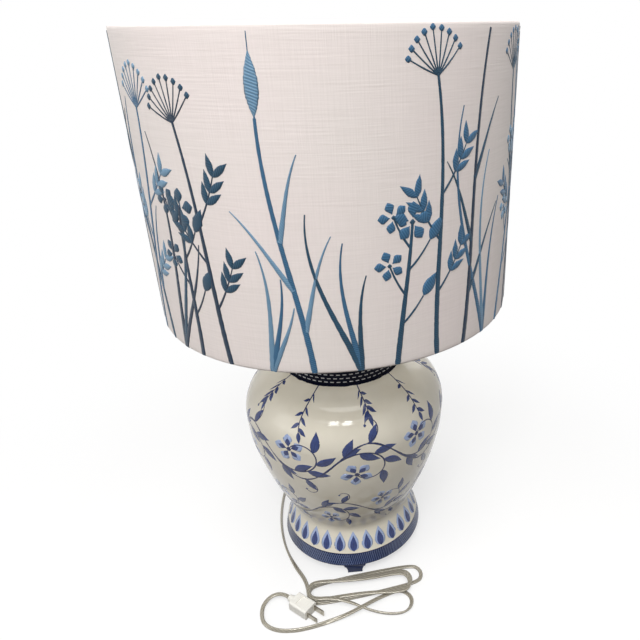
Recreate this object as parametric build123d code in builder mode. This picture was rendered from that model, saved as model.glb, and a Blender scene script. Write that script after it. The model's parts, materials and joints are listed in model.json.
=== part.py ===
from build123d import *

import os
from math import cos, pi, radians, sin, sqrt, tan

# Ceramic table lamp: a glazed temple jar on a footed stand, with a harp that carries a linen drum shade,
# a screw-in bulb in a turn-knob socket, and a mains lead gathered in front of the base.
# Millimetres, +Z up, the front towards -Y. The origin is on the table, on the lamp's axis.

os.makedirs("parts", exist_ok=True)

# Clearances
glue_gap = 0.1
shaft_gap = 0.05
seat_gap = 0.3
pass_gap = 0.4

# Stand: a round plinth on bracket feet, with felt pads
foot_count = 4
pad_radius = 7.0
pad_thickness = 1.5
foot_height = 13.5
foot_front = 96.5
foot_depth = 17.0
toe_half_width = 10.0
toe_height = 2.5
ankle_half_width = 12.5
ankle_height = 10.0
ankle_step = 1.5
bracket_half_width = 17.0
plinth_height = 19.0
plinth_bottom_radius = 98.5
plinth_top_radius = 94.5
plinth_wall = 11.0
plinth_deck = 6.0
plinth_edge = 1.2

# Jar and lid
jar_wall = 6.0
jar_floor_thickness = 8.0
recess_radius = 72.0
recess_height = 10.0
waist_radius = 82.0
waist_rise = 34.0
waist_blend = 18.0
skirt_hollow = 0.8
flank_radius = 125.0
flank_rise = 143.0
belly_radius = 131.0
belly_rise = 192.0
shoulder_radius = 55.0
shoulder_turn = 62.0
neck_radius = 73.0
neck_rise = 253.5
neck_height = 24.0
lip_edge = 1.5
lid_overhang = 2.0
lid_rim = 5.0
lid_dome = 31.0
lid_wall = 5.0
lid_boss_radius = 16.0
lid_boss_height = 2.5
spigot_depth = 8.0
spigot_wall = 4.0

# Pipe that clamps the stack, with its nut and washer
rod_radius = 4.9
rod_bore = 3.3
rod_end_below_nut = 2.0
rod_in_cap = 9.0
nut_across_flats = 14.0
nut_height = 5.0
washer_radius = 12.0
washer_thickness = 1.5

# Brass neck and harp
brass_neck_height = 52.0
brass_neck_radius = 9.0
brass_foot_radius = 14.0
brass_foot_height = 4.0
brass_collar_radius = 12.0
brass_collar_height = 5.0
saddle_thickness = 2.0
saddle_half_span = 24.0
saddle_width = 12.0
saddle_tab_width = 8.0
saddle_tab_height = 10.0
harp_height = 254.0
harp_wire_radius = 2.0
harp_half_width = 60.0
harp_leg_straight = 36.0
harp_spread_rise = 40.0
harp_arch_drop = 56.0
harp_crown_half_width = 24.0
leg_bend = 22.0
spread_bend = 34.0
arch_bend = 60.0
crown_bend = 22.0
sleeve_height = 10.0
sleeve_wall = 1.2
block_length = 16.0
block_width = 11.0
block_below_wire = 4.5
block_above_wire = 7.5
stud_radius = 3.15
stud_shank_depth = 4.0
stud_flange_radius = 9.0
stud_flange_height = 4.2
stud_edge = 0.7
stud_thread_length = 17.0

# Shade
shade_radius = 203.0
shade_height = 300.0
shade_drop = 22.0
cover_thickness = 0.7
liner_thickness = 0.6
ring_wire_radius = 1.6
hem_tuck = 9.0
hem_ease = 1.0
arm_count = 3
hub_radius = 14.0
hub_thickness = 2.0
notch_half_width = 2.4

# Finial
finial_washer_radius = 8.0
finial_washer_thickness = 1.0
finial_base_radius = 7.0
finial_waist_radius = 4.6
finial_ball_radius = 7.5
finial_height = 20.0
finial_bore_depth = 15.0

# Socket and switch
cap_height = 20.0
cap_radius = 18.0
cap_hub_radius = 8.5
cap_hub_height = 9.0
cap_wall = 1.0
cap_lap = 6.0
shell_wall = 0.8
shell_height = 50.0
shell_lip = 1.6
insulator_wall = 0.8
core_height = 24.0
core_screw_pocket = 4.0
terminal_height = 9.0
terminal_head_radius = 3.2
terminal_head_height = 2.0
terminal_shank_radius = 1.5
terminal_shank_length = 5.0
set_screw_radius = 1.5
set_screw_head_radius = 2.6
set_screw_head_height = 2.0
screw_shell_wall = 0.5
screw_shell_height = 21.0
contact_radius = 3.5
contact_height = 2.2
switch_rise = 15.0
switch_shaft_radius = 2.0
switch_slot_radius = 3.0
knob_radius = 5.2
knob_length = 14.0
knob_gap = 3.0
knob_flutes = 18
knob_flute_radius = 0.5

# Bulb
bulb_cap_radius = 13.0
bulb_cap_height = 24.0
bulb_cap_wall = 0.6
bulb_tip_radius = 4.5
bulb_tip_height = 1.5
bulb_glass_radius = 30.0
bulb_glass_height = 84.0
bulb_glass_wall = 1.0
bulb_neck_lap = 4.0
bulb_cap_cone = 6.0

# Mains lead
cord_radius = 2.2
cord_exit_rise = 7.0
cord_inner_bend = 8.0
bend_share = 0.45
bushing_barrel_radius = 4.7
bushing_flange_radius = 6.5
bushing_flange_thickness = 2.8
bushing_nose_radius = 4.4
bushing_tip_radius = 3.2
bushing_nose_length = 18.0
plug_run = 12.0
plug_length = 28.0
plug_width = 21.0
plug_height = 15.0
plug_neck_length = 9.0
plug_neck_radius = 4.2
plug_corner = 3.0
plug_grip_depth = 1.2
plug_grip_length = 12.0
blade_spacing = 12.7
blade_length = 16.0
blade_thickness = 1.5
blade_height = 6.4
blade_wide_height = 7.9
blade_root = 3.0
blade_hole_radius = 1.5

# Loose hank: loops gathered at one end and fanned out at the other
hank_loops = 3
hank_gather = Vector(-48, -129, 0)
hank_first_angle = 9.0
hank_fan_step = 3.5
hank_length = 112.0
hank_length_swing = 12.0
hank_near_radius = 13.6
hank_far_radius = 14.5
hank_far_step = 0.7
hank_layer = 2 * cord_radius + 0.7
hank_sample = 1.5
hank_run_in = 26.0
hank_run_out = 20.0
straight_limit = 1e-9

# Heights of the stack, from the table up
plinth_bottom = pad_thickness + foot_height
plinth_top = plinth_bottom + plinth_height
boss_top = plinth_top + recess_height - pass_gap
deck_underside = boss_top - plinth_deck
jar_ledge_z = plinth_top + recess_height
jar_floor_top = jar_ledge_z + jar_floor_thickness
waist_z = plinth_top + waist_rise
flank_z = plinth_top + flank_rise
belly_z = plinth_top + belly_rise
neck_z = plinth_top + neck_rise
lip_z = neck_z + neck_height
lid_dome_z = lip_z + lid_rim
lid_top = lid_dome_z + lid_dome + lid_boss_height
saddle_z = lid_top + brass_neck_height
cap_z = saddle_z + saddle_thickness
hub_z = cap_z + harp_height
shade_top = hub_z + shade_drop
shade_bottom = shade_top - shade_height
core_z = cap_z + cap_hub_height + cap_lap
contact_z = core_z + core_height
bulb_z = contact_z + contact_height
shell_z = cap_z + cap_height - cap_lap
cord_exit_z = plinth_bottom + cord_exit_rise

# Radii that follow from a neighbour
rod_hole_radius = rod_radius + pass_gap
boss_radius = recess_radius - pass_gap
well_radius = boss_radius - plinth_wall
cavity_radius = plinth_top_radius - plinth_wall
cavity_top = plinth_top - plinth_deck
cap_bore = cap_radius - cap_wall
shell_radius = cap_bore - glue_gap
insulator_radius = shell_radius - shell_wall - glue_gap
core_radius = insulator_radius - insulator_wall - glue_gap
screw_shell_bore = bulb_cap_radius + seat_gap
screw_shell_radius = screw_shell_bore + screw_shell_wall
hem_radius = (cover_thickness + glue_gap + liner_thickness + glue_gap + 2 * ring_wire_radius + hem_ease
              + cover_thickness) / 2
hem_center_radius = shade_radius - hem_radius
ring_radius = shade_radius - cover_thickness - liner_thickness - 2 * glue_gap - ring_wire_radius
top_ring_z = shade_top - hem_radius
bottom_ring_z = shade_bottom + hem_radius

UP = (Align.CENTER, Align.CENTER, Align.MIN)


def keep(piece, name):
    """Label a finished piece and write it to its own file."""
    piece.part.label = name
    export_step(piece.part, f"parts/{name}.step")


def upright(radius, bottom, top, mode=Mode.ADD):
    """Add or cut a cylinder on the lamp's axis, between two heights."""
    with Locations((0, 0, bottom)):
        Cylinder(radius, top - bottom, align=UP, mode=mode)


# Stand
with BuildPart() as bracket_foot:
    with BuildSketch(Plane.XZ.offset(foot_front - foot_depth)):
        with BuildLine():
            toe_top = pad_thickness + toe_height
            ankle_z = pad_thickness + ankle_height
            foot_top = plinth_bottom + plinth_edge
            toe_corner = (toe_half_width, toe_top)
            bracket_start = (ankle_half_width + ankle_step, ankle_z)
            Polyline((0, foot_top), (0, pad_thickness), (toe_half_width, pad_thickness), toe_corner)
            TangentArc(toe_corner, (ankle_half_width, ankle_z), tangent=(0, 1))
            Line((ankle_half_width, ankle_z), bracket_start)
            TangentArc(bracket_start, (bracket_half_width, foot_top), tangent=(0, 1))
            Line((bracket_half_width, foot_top), (0, foot_top))
        make_face()
        mirror(about=Plane.YZ)
    extrude(amount=foot_depth)

with BuildPart() as base_stand:
    with BuildSketch(Plane.XZ):
        with BuildLine():
            Polyline(
                (rod_hole_radius, boss_top),
                (boss_radius, boss_top),
                (boss_radius, plinth_top),
                (plinth_top_radius, plinth_top),
                (plinth_bottom_radius, plinth_bottom),
                (cavity_radius, plinth_bottom),
                (cavity_radius, cavity_top),
                (well_radius, cavity_top),
                (well_radius, deck_underside),
                (rod_hole_radius, deck_underside),
                close=True,
            )
        make_face()
    revolve(axis=Axis.Z)
    fillet(base_stand.edges().filter_by(GeomType.CIRCLE).sort_by(SortBy.RADIUS)[-1], plinth_edge)
    with PolarLocations(0, foot_count):
        add(bracket_foot.part)
    # The lead's way out at the back, with a flat seat for the bushing's flange
    seat_y = plinth_top_radius + plinth_edge
    with BuildSketch(Plane((0, cavity_radius - plinth_wall, cord_exit_z), z_dir=(0, 1, 0))):
        Circle(bushing_barrel_radius + glue_gap)
    extrude(amount=3 * plinth_wall, mode=Mode.SUBTRACT)
    with BuildSketch(Plane((0, seat_y, cord_exit_z), z_dir=(0, 1, 0))):
        Circle(bushing_flange_radius + pass_gap)
    extrude(amount=plinth_wall, mode=Mode.SUBTRACT)
keep(base_stand, "base_stand")

with BuildPart() as felt_pads:
    with PolarLocations(foot_front - foot_depth / 2, foot_count):
        Cylinder(pad_radius, pad_thickness, align=UP)
keep(felt_pads, "felt_pads")


# Jar
def jar_outline(inset):
    """The jar's outline from waist to lip, drawn in by the inset."""
    waist = (waist_radius - inset, waist_z)
    flank = (flank_radius - inset, flank_z)
    belly = (belly_radius - inset, belly_z)
    neck = (neck_radius - inset, neck_z - inset)
    bulge = TangentArc(belly, flank, tangent=(0, -1))
    TangentArc(flank, waist, tangent=bulge % 1)
    shoulder = JernArc(belly, (0, 1), shoulder_radius - inset, shoulder_turn)
    TangentArc(shoulder @ 1, neck, tangent=shoulder % 1)
    Line(neck, (neck_radius - inset, lip_z))


with BuildPart() as jar_body:
    with BuildSketch(Plane.XZ):
        with BuildLine():
            Polyline((0, lip_z), (0, plinth_top), (plinth_top_radius, plinth_top))
            skirt_middle = ((plinth_top_radius + waist_radius) / 2 - skirt_hollow,
                            (plinth_top + waist_z) / 2)
            ThreePointArc((plinth_top_radius, plinth_top), skirt_middle, (waist_radius, waist_z))
            jar_outline(0)
            Line((neck_radius, lip_z), (0, lip_z))
        make_face()
    revolve(axis=Axis.Z)
    rings = jar_body.edges().filter_by(GeomType.CIRCLE)
    fillet(rings.filter_by(lambda ring: abs(ring.center().Z - waist_z) < glue_gap), waist_blend)
    with BuildSketch(Plane.XZ):
        with BuildLine():
            inner_waist = (waist_radius - jar_wall, waist_z)
            Polyline((0, lip_z), (0, jar_ledge_z), (waist_radius - jar_wall, jar_ledge_z), inner_waist)
            jar_outline(jar_wall)
            Line((neck_radius - jar_wall, lip_z), (0, lip_z))
        make_face()
    revolve(axis=Axis.Z, mode=Mode.SUBTRACT)
    upright(recess_radius, plinth_top, jar_ledge_z, mode=Mode.SUBTRACT)
    fillet(jar_body.faces().sort_by(Axis.Z)[-1].edges(), lip_edge)
keep(jar_body, "jar_body")

# The floor is a disc of its own, luted onto a ledge inside the skirt
with BuildPart() as jar_floor:
    upright(waist_radius - jar_wall - glue_gap, jar_ledge_z + glue_gap, jar_floor_top)
    upright(rod_hole_radius, jar_ledge_z, jar_floor_top, mode=Mode.SUBTRACT)
keep(jar_floor, "jar_floor")

with BuildPart() as jar_lid:
    lid_radius = neck_radius + lid_overhang
    with BuildSketch(Plane.XZ):
        with BuildLine():
            Polyline((0, lip_z), (lid_radius, lip_z), (lid_radius, lid_dome_z))
            EllipticalCenterArc((0, lid_dome_z), lid_radius, lid_dome, arc_size=90)
            Line((0, lid_dome_z + lid_dome), (0, lip_z))
        make_face()
    revolve(axis=Axis.Z)
    upright(lid_boss_radius, lid_dome_z, lid_top)
    spigot_radius = neck_radius - jar_wall - pass_gap
    upright(spigot_radius, lip_z - spigot_depth, lip_z)
    upright(spigot_radius - spigot_wall, lip_z - spigot_depth, lid_dome_z, mode=Mode.SUBTRACT)
    with BuildSketch(Plane.XZ):
        with BuildLine():
            dome_bore = spigot_radius - spigot_wall
            Line((0, lid_dome_z), (dome_bore, lid_dome_z))
            EllipticalCenterArc((0, lid_dome_z), dome_bore, lid_dome - lid_wall, arc_size=90)
            Line((0, lid_dome_z + lid_dome - lid_wall), (0, lid_dome_z))
        make_face()
    revolve(axis=Axis.Z, mode=Mode.SUBTRACT)
    upright(rod_hole_radius, lid_dome_z, lid_top, mode=Mode.SUBTRACT)
    fillet(jar_lid.faces().filter_by(Plane.XY).sort_by(Axis.Z)[-1].outer_wire().edges(), lid_boss_height / 2)
keep(jar_lid, "jar_lid")

# Pipe, nut and washer
washer_z = deck_underside - washer_thickness
nut_z = washer_z - nut_height
rod_bottom = nut_z - rod_end_below_nut
with BuildPart() as lamp_rod:
    upright(rod_radius, rod_bottom, cap_z + rod_in_cap)
    upright(rod_bore, rod_bottom, cap_z + rod_in_cap, mode=Mode.SUBTRACT)
keep(lamp_rod, "lamp_rod")

with BuildPart() as rod_washer:
    upright(washer_radius, washer_z, deck_underside)
    upright(rod_radius + glue_gap, washer_z, deck_underside, mode=Mode.SUBTRACT)
keep(rod_washer, "rod_washer")

with BuildPart() as rod_nut:
    with BuildSketch(Plane.XY.offset(nut_z)):
        RegularPolygon(nut_across_flats / 2, 6, major_radius=False)
        Circle(rod_radius + shaft_gap, mode=Mode.SUBTRACT)
    extrude(amount=nut_height)
keep(rod_nut, "rod_nut")

# Brass neck between lid and saddle
with BuildPart() as brass_neck:
    with BuildSketch(Plane.XZ):
        with BuildLine():
            foot_edge_z = lid_top + brass_foot_height
            collar_z = saddle_z - brass_collar_height
            neck_bore = rod_radius + pass_gap
            cove_z = foot_edge_z + brass_foot_radius - brass_neck_radius
            flare_z = collar_z - brass_collar_radius + brass_neck_radius
            Polyline((neck_bore, saddle_z), (neck_bore, lid_top), (brass_foot_radius, lid_top))
            Line((brass_foot_radius, lid_top), (brass_foot_radius, foot_edge_z))
            TangentArc((brass_foot_radius, foot_edge_z), (brass_neck_radius, cove_z), tangent=(-1, 0))
            Line((brass_neck_radius, cove_z), (brass_neck_radius, flare_z))
            TangentArc((brass_neck_radius, flare_z), (brass_collar_radius, collar_z), tangent=(0, 1))
            Polyline((brass_collar_radius, collar_z), (brass_collar_radius, saddle_z), (neck_bore, saddle_z))
        make_face()
    revolve(axis=Axis.Z)
keep(brass_neck, "brass_neck")

# Harp: saddle, wire, sleeves, block and stud
leg_x = saddle_half_span + seat_gap + harp_wire_radius
with BuildPart() as harp_saddle:
    with BuildSketch(Plane.XY.offset(saddle_z)):
        RectangleRounded(2 * saddle_half_span, saddle_width, saddle_thickness)
        Circle(rod_radius + glue_gap, mode=Mode.SUBTRACT)
    extrude(amount=saddle_thickness)
    with Locations((saddle_half_span - saddle_thickness / 2, 0, saddle_z),
                   (saddle_thickness / 2 - saddle_half_span, 0, saddle_z)):
        Box(saddle_thickness, saddle_tab_width, saddle_thickness + saddle_tab_height, align=UP)
keep(harp_saddle, "harp_saddle")

wire_z = hub_z - stud_flange_height - seat_gap - block_above_wire
leg_bottom = cap_z + seat_gap
leg_top = leg_bottom + harp_leg_straight
spread_z = leg_top + harp_spread_rise
arch_z = wire_z - harp_arch_drop
side_bends = [leg_bend, spread_bend, arch_bend, crown_bend]
with BuildPart() as harp_wire:
    with BuildLine() as harp_path:
        FilletPolyline(
            (-leg_x, 0, leg_bottom),
            (-leg_x, 0, leg_top),
            (-harp_half_width, 0, spread_z),
            (-harp_half_width, 0, arch_z),
            (-harp_crown_half_width, 0, wire_z),
            (harp_crown_half_width, 0, wire_z),
            (harp_half_width, 0, arch_z),
            (harp_half_width, 0, spread_z),
            (leg_x, 0, leg_top),
            (leg_x, 0, leg_bottom),
            radius=side_bends + side_bends[::-1],
        )
    with BuildSketch(Plane.XY.offset(leg_bottom)):
        with Locations((-leg_x, 0)):
            Circle(harp_wire_radius)
    sweep(path=harp_path.wire())
keep(harp_wire, "harp_wire")

sleeve_z = cap_z + seat_gap
sleeve_inner_x = saddle_half_span - saddle_thickness - seat_gap
sleeve_outer_x = leg_x + harp_wire_radius + seat_gap
sleeve_half_width = saddle_tab_width / 2 + seat_gap
for side, name in ((-1, "harp_sleeve_left"), (1, "harp_sleeve_right")):
    with BuildPart() as harp_sleeve:
        with BuildSketch(Plane.XY.offset(sleeve_z)):
            with Locations((side * (sleeve_inner_x + sleeve_outer_x) / 2, 0)):
                pocket_length = sleeve_outer_x - sleeve_inner_x
                sleeve_length = pocket_length + 2 * sleeve_wall
                sleeve_width = 2 * (sleeve_half_width + sleeve_wall)
                RectangleRounded(sleeve_length, sleeve_width, 2 * sleeve_wall)
                Rectangle(pocket_length, 2 * sleeve_half_width, mode=Mode.SUBTRACT)
        extrude(amount=sleeve_height)
    keep(harp_sleeve, name)

block_top = wire_z + block_above_wire
with BuildPart() as harp_block:
    with Locations((0, 0, wire_z - block_below_wire)):
        Box(block_length, block_width, block_below_wire + block_above_wire, align=UP)
    fillet(harp_block.edges().filter_by(Axis.Z), block_width / 4)
    with BuildSketch(Plane.YZ.offset(-block_length)):
        with Locations((0, wire_z)):
            Circle(harp_wire_radius + shaft_gap)
    extrude(amount=2 * block_length, mode=Mode.SUBTRACT)
    upright(stud_radius + shaft_gap, block_top - stud_shank_depth - seat_gap, block_top, mode=Mode.SUBTRACT)
keep(harp_block, "harp_block")

with BuildPart() as harp_stud:
    upright(stud_radius, block_top - stud_shank_depth, hub_z + stud_thread_length)
    upright(stud_flange_radius, hub_z - stud_flange_height, hub_z)
    fillet(harp_stud.edges().filter_by(GeomType.CIRCLE).sort_by(SortBy.RADIUS)[-2:], stud_edge)
    chamfer(harp_stud.edges().group_by(Axis.Z)[-1], stud_radius / 5)
keep(harp_stud, "harp_stud")

# Shade: frame, rings, cover and liner
arm_start = hub_radius - hub_thickness
arm_start_z = hub_z + ring_wire_radius
arm_rise = top_ring_z - arm_start_z
arm_run = ring_radius - arm_start
with BuildPart() as shade_arm:
    with BuildSketch(Plane((arm_start, 0, arm_start_z), x_dir=(0, 1, 0), z_dir=(arm_run, 0, arm_rise))):
        Circle(ring_wire_radius)
    extrude(amount=sqrt(arm_run ** 2 + arm_rise ** 2))

with BuildPart() as spider_frame:
    upright(hub_radius, hub_z, hub_z + hub_thickness)
    with Locations((0, 0, top_ring_z)):
        Torus(ring_radius, ring_wire_radius)
    with PolarLocations(0, arm_count, start_angle=90):
        add(shade_arm.part)
    upright(stud_radius + seat_gap, hub_z, hub_z + hub_thickness, mode=Mode.SUBTRACT)
keep(spider_frame, "spider_frame")

with BuildPart() as bottom_ring:
    with Locations((0, 0, bottom_ring_z)):
        Torus(ring_radius, ring_wire_radius)
keep(bottom_ring, "bottom_ring")

with BuildPart() as shade_cover:
    inner_fold = hem_center_radius - hem_radius
    with BuildSketch(Plane.XZ):
        with BuildLine():
            wall_face = shade_radius - cover_thickness
            fold_face = inner_fold + cover_thickness
            hem_bore = hem_radius - cover_thickness
            tuck_top = top_ring_z - hem_tuck
            tuck_bottom = bottom_ring_z + hem_tuck
            Line((shade_radius, bottom_ring_z), (shade_radius, top_ring_z))
            CenterArc((hem_center_radius, top_ring_z), hem_radius, 0, 180)
            Polyline((inner_fold, top_ring_z), (inner_fold, tuck_top), (fold_face, tuck_top),
                     (fold_face, top_ring_z))
            CenterArc((hem_center_radius, top_ring_z), hem_bore, 0, 180)
            Line((wall_face, top_ring_z), (wall_face, bottom_ring_z))
            CenterArc((hem_center_radius, bottom_ring_z), hem_bore, 180, 180)
            Polyline((fold_face, bottom_ring_z), (fold_face, tuck_bottom), (inner_fold, tuck_bottom),
                     (inner_fold, bottom_ring_z))
            CenterArc((hem_center_radius, bottom_ring_z), hem_radius, 180, 180)
        make_face()
    revolve(axis=Axis.Z)
    # The fold is notched where an arm of the frame passes it
    notch_reach = hem_center_radius - inner_fold
    with PolarLocations(inner_fold, arm_count, start_angle=90):
        with Locations((0, 0, top_ring_z - hem_tuck)):
            Box(2 * notch_reach, 2 * notch_half_width, hem_tuck + hem_bore, align=UP, mode=Mode.SUBTRACT)
keep(shade_cover, "shade_cover")

with BuildPart() as shade_liner:
    liner_radius = shade_radius - cover_thickness - glue_gap
    upright(liner_radius, bottom_ring_z, top_ring_z)
    upright(liner_radius - liner_thickness, bottom_ring_z, top_ring_z, mode=Mode.SUBTRACT)
keep(shade_liner, "shade_liner")

# Finial and the washer held under it
finial_washer_z = hub_z + hub_thickness + seat_gap
finial_washer_top = finial_washer_z + finial_washer_thickness
finial_z = finial_washer_top + seat_gap
with BuildPart() as finial_washer:
    upright(finial_washer_radius, finial_washer_z, finial_washer_top)
    upright(stud_radius + seat_gap, finial_washer_z, finial_washer_top, mode=Mode.SUBTRACT)
keep(finial_washer, "finial_washer")

with BuildPart() as finial:
    with BuildSketch(Plane.XZ):
        with BuildLine():
            finial_top = finial_z + finial_height
            ball_z = finial_top - finial_ball_radius
            base_top = finial_z + finial_waist_radius / 2
            throat_z = (base_top + ball_z) / 2
            base_edge = (finial_base_radius, base_top)
            Polyline((0, finial_top), (0, finial_z), (finial_base_radius, finial_z), base_edge)
            ThreePointArc(base_edge, (finial_waist_radius, throat_z), (finial_ball_radius, ball_z))
            CenterArc((0, ball_z), finial_ball_radius, 0, 90)
        make_face()
    revolve(axis=Axis.Z)
    upright(stud_radius + shaft_gap, finial_z, finial_z + finial_bore_depth, mode=Mode.SUBTRACT)
keep(finial, "finial")

# Socket
with BuildPart() as socket_cap:
    with BuildSketch(Plane.XZ):
        with BuildLine():
            cap_top = cap_z + cap_height
            rim_z = cap_top - cap_lap
            cap_inner_hub = cap_z + cap_hub_height
            cap_hole = rod_radius + shaft_gap
            Polyline((cap_hole, cap_inner_hub), (cap_hole, cap_z), (cap_hub_radius, cap_z))
            Line((cap_hub_radius, cap_z), (cap_hub_radius, cap_z + cap_wall))
            TangentArc((cap_hub_radius, cap_z + cap_wall), (cap_radius, rim_z), tangent=(1, 0))
            Polyline((cap_radius, rim_z), (cap_radius, cap_top), (cap_bore, cap_top), (cap_bore, rim_z))
            Line((cap_bore, rim_z), (cap_hub_radius, cap_inner_hub))
            Line((cap_hub_radius, cap_inner_hub), (cap_hole, cap_inner_hub))
        make_face()
    revolve(axis=Axis.Z)
    set_screw_z = cap_z + cap_hub_height / 2
    with BuildSketch(Plane((0, rod_radius, set_screw_z), z_dir=(0, 1, 0))):
        Circle(set_screw_radius + shaft_gap)
    extrude(amount=cap_radius, mode=Mode.SUBTRACT)
    with BuildSketch(Plane((0, cap_hub_radius, set_screw_z), z_dir=(0, 1, 0))):
        Circle(set_screw_head_radius + seat_gap)
    extrude(amount=cap_radius, mode=Mode.SUBTRACT)
keep(socket_cap, "socket_cap")

with BuildPart() as cap_screw:
    with BuildSketch(Plane((0, rod_radius + seat_gap, set_screw_z), z_dir=(0, 1, 0))):
        Circle(set_screw_radius)
    extrude(amount=cap_hub_radius - rod_radius)
    with BuildSketch(Plane((0, cap_hub_radius + glue_gap, set_screw_z), z_dir=(0, 1, 0))):
        Circle(set_screw_head_radius)
    extrude(amount=set_screw_head_height)
    with Locations((0, cap_hub_radius + set_screw_head_height, set_screw_z)):
        Box(2 * set_screw_head_radius, set_screw_head_height, set_screw_radius / 2, mode=Mode.SUBTRACT)
keep(cap_screw, "cap_screw")

shell_top = shell_z + shell_height
switch_z = core_z + switch_rise
with BuildPart() as socket_shell:
    upright(shell_radius, shell_z, shell_top)
    upright(shell_radius - shell_wall - shell_lip, shell_z, shell_top, mode=Mode.SUBTRACT)
    upright(shell_radius - shell_wall, shell_z, shell_top - shell_wall, mode=Mode.SUBTRACT)
    with BuildSketch(Plane.XZ):
        with Locations((0, switch_z)):
            Circle(switch_slot_radius)
    extrude(amount=cap_radius, mode=Mode.SUBTRACT)
keep(socket_shell, "socket_shell")

with BuildPart() as socket_insulator:
    insulator_top = shell_top - shell_wall - seat_gap
    upright(insulator_radius, core_z, insulator_top)
    upright(insulator_radius - insulator_wall, core_z, insulator_top, mode=Mode.SUBTRACT)
    with BuildSketch(Plane.XZ):
        with Locations((0, switch_z)):
            Circle(switch_slot_radius)
    extrude(amount=cap_radius, mode=Mode.SUBTRACT)
keep(socket_insulator, "socket_insulator")

with BuildPart() as socket_body:
    upright(core_radius, core_z, contact_z)
    with BuildSketch(Plane.XZ):
        with Locations((0, switch_z)):
            Circle(switch_shaft_radius + shaft_gap)
    extrude(amount=core_radius, mode=Mode.SUBTRACT)
    terminal_z = core_z + terminal_height
    pocket_x = core_radius - core_screw_pocket
    for side in (-1, 1):
        with BuildSketch(Plane((side * pocket_x, 0, terminal_z), z_dir=(side, 0, 0))):
            Circle(terminal_head_radius + pass_gap)
        extrude(amount=core_radius, mode=Mode.SUBTRACT)
        with BuildSketch(Plane((side * pocket_x, 0, terminal_z), z_dir=(-side, 0, 0))):
            Circle(terminal_shank_radius + shaft_gap)
        extrude(amount=terminal_shank_length + seat_gap, mode=Mode.SUBTRACT)
keep(socket_body, "socket_body")

with BuildPart() as terminal_screws:
    for side in (-1, 1):
        with BuildSketch(Plane((side * (pocket_x + glue_gap), 0, terminal_z), z_dir=(side, 0, 0))):
            Circle(terminal_head_radius)
        extrude(amount=terminal_head_height)
        with BuildSketch(Plane((side * (pocket_x + glue_gap), 0, terminal_z), z_dir=(-side, 0, 0))):
            Circle(terminal_shank_radius)
        extrude(amount=terminal_shank_length)
keep(terminal_screws, "terminal_screws")

with BuildPart() as screw_shell:
    upright(screw_shell_radius, contact_z, contact_z + screw_shell_height)
    upright(screw_shell_bore, contact_z, contact_z + screw_shell_height, mode=Mode.SUBTRACT)
keep(screw_shell, "screw_shell")

with BuildPart() as centre_contact:
    upright(contact_radius, contact_z, bulb_z - seat_gap)
    fillet(centre_contact.edges().group_by(Axis.Z)[-1], contact_height / 3)
keep(centre_contact, "centre_contact")

# Switch: a shaft in the core and a fluted knob outside the shell
knob_back = shell_radius + knob_gap
shaft_end = knob_back + knob_length / 2
with BuildPart() as switch_shaft:
    with BuildSketch(Plane.XZ.offset(pass_gap)):
        with Locations((0, switch_z)):
            Circle(switch_shaft_radius)
    extrude(amount=shaft_end - pass_gap)
keep(switch_shaft, "switch_shaft")

with BuildPart() as switch_knob:
    with BuildSketch(Plane.XZ.offset(knob_back)):
        with Locations((0, switch_z)):
            Circle(knob_radius)
            with PolarLocations(knob_radius, knob_flutes):
                Circle(knob_flute_radius, mode=Mode.SUBTRACT)
    extrude(amount=knob_length)
    with BuildSketch(Plane.XZ.offset(knob_back)):
        with Locations((0, switch_z)):
            Circle(switch_shaft_radius + shaft_gap)
    extrude(amount=knob_length / 2 + shaft_gap, mode=Mode.SUBTRACT)
keep(switch_knob, "switch_knob")

# Bulb
bulb_cap_z = bulb_z + bulb_tip_height
glass_z = bulb_cap_z + bulb_cap_height - bulb_neck_lap
glass_neck = bulb_cap_radius - bulb_cap_wall - glue_gap
with BuildPart() as bulb_tip:
    upright(bulb_tip_radius, bulb_z, bulb_cap_z)
    fillet(bulb_tip.edges().group_by(Axis.Z)[0], bulb_tip_height / 2)
keep(bulb_tip, "bulb_tip")

with BuildPart() as bulb_cap:
    with BuildSketch(Plane.XZ):
        with BuildLine():
            cap_rim_z = bulb_cap_z + bulb_cap_height
            cone_z = bulb_cap_z + bulb_cap_cone
            floor_z = glass_z - bulb_cap_wall
            bulb_cap_bore = bulb_cap_radius - bulb_cap_wall
            Polyline(
                (0, floor_z),
                (0, bulb_cap_z),
                (bulb_tip_radius, bulb_cap_z),
                (bulb_cap_radius, cone_z),
                (bulb_cap_radius, cap_rim_z),
                (bulb_cap_bore, cap_rim_z),
                (bulb_cap_bore, floor_z),
                close=True,
            )
        make_face()
    revolve(axis=Axis.Z)
keep(bulb_cap, "bulb_cap")


def bulb_outline(inset):
    """Half outline of the glass, from neck to crown, drawn in by the inset."""
    globe_z = glass_z + bulb_glass_height - bulb_glass_radius
    neck_top = (glass_neck - inset, glass_z + bulb_neck_lap)
    Line((glass_neck - inset, glass_z), neck_top)
    TangentArc((bulb_glass_radius - inset, globe_z), neck_top, tangent=(0, -1))
    CenterArc((0, globe_z), bulb_glass_radius - inset, 0, 90)


with BuildPart() as bulb_glass:
    with BuildSketch(Plane.XZ):
        with BuildLine():
            bulb_outline(0)
            Polyline((0, glass_z + bulb_glass_height), (0, glass_z), (glass_neck, glass_z))
        make_face()
    revolve(axis=Axis.Z)
    with BuildSketch(Plane.XZ):
        with BuildLine():
            bulb_outline(bulb_glass_wall)
            glass_inner_top = glass_z + bulb_glass_height - bulb_glass_wall
            Polyline((0, glass_inner_top), (0, glass_z), (glass_neck - bulb_glass_wall, glass_z))
        make_face()
    revolve(axis=Axis.Z, mode=Mode.SUBTRACT)
keep(bulb_glass, "bulb_glass")

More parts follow.
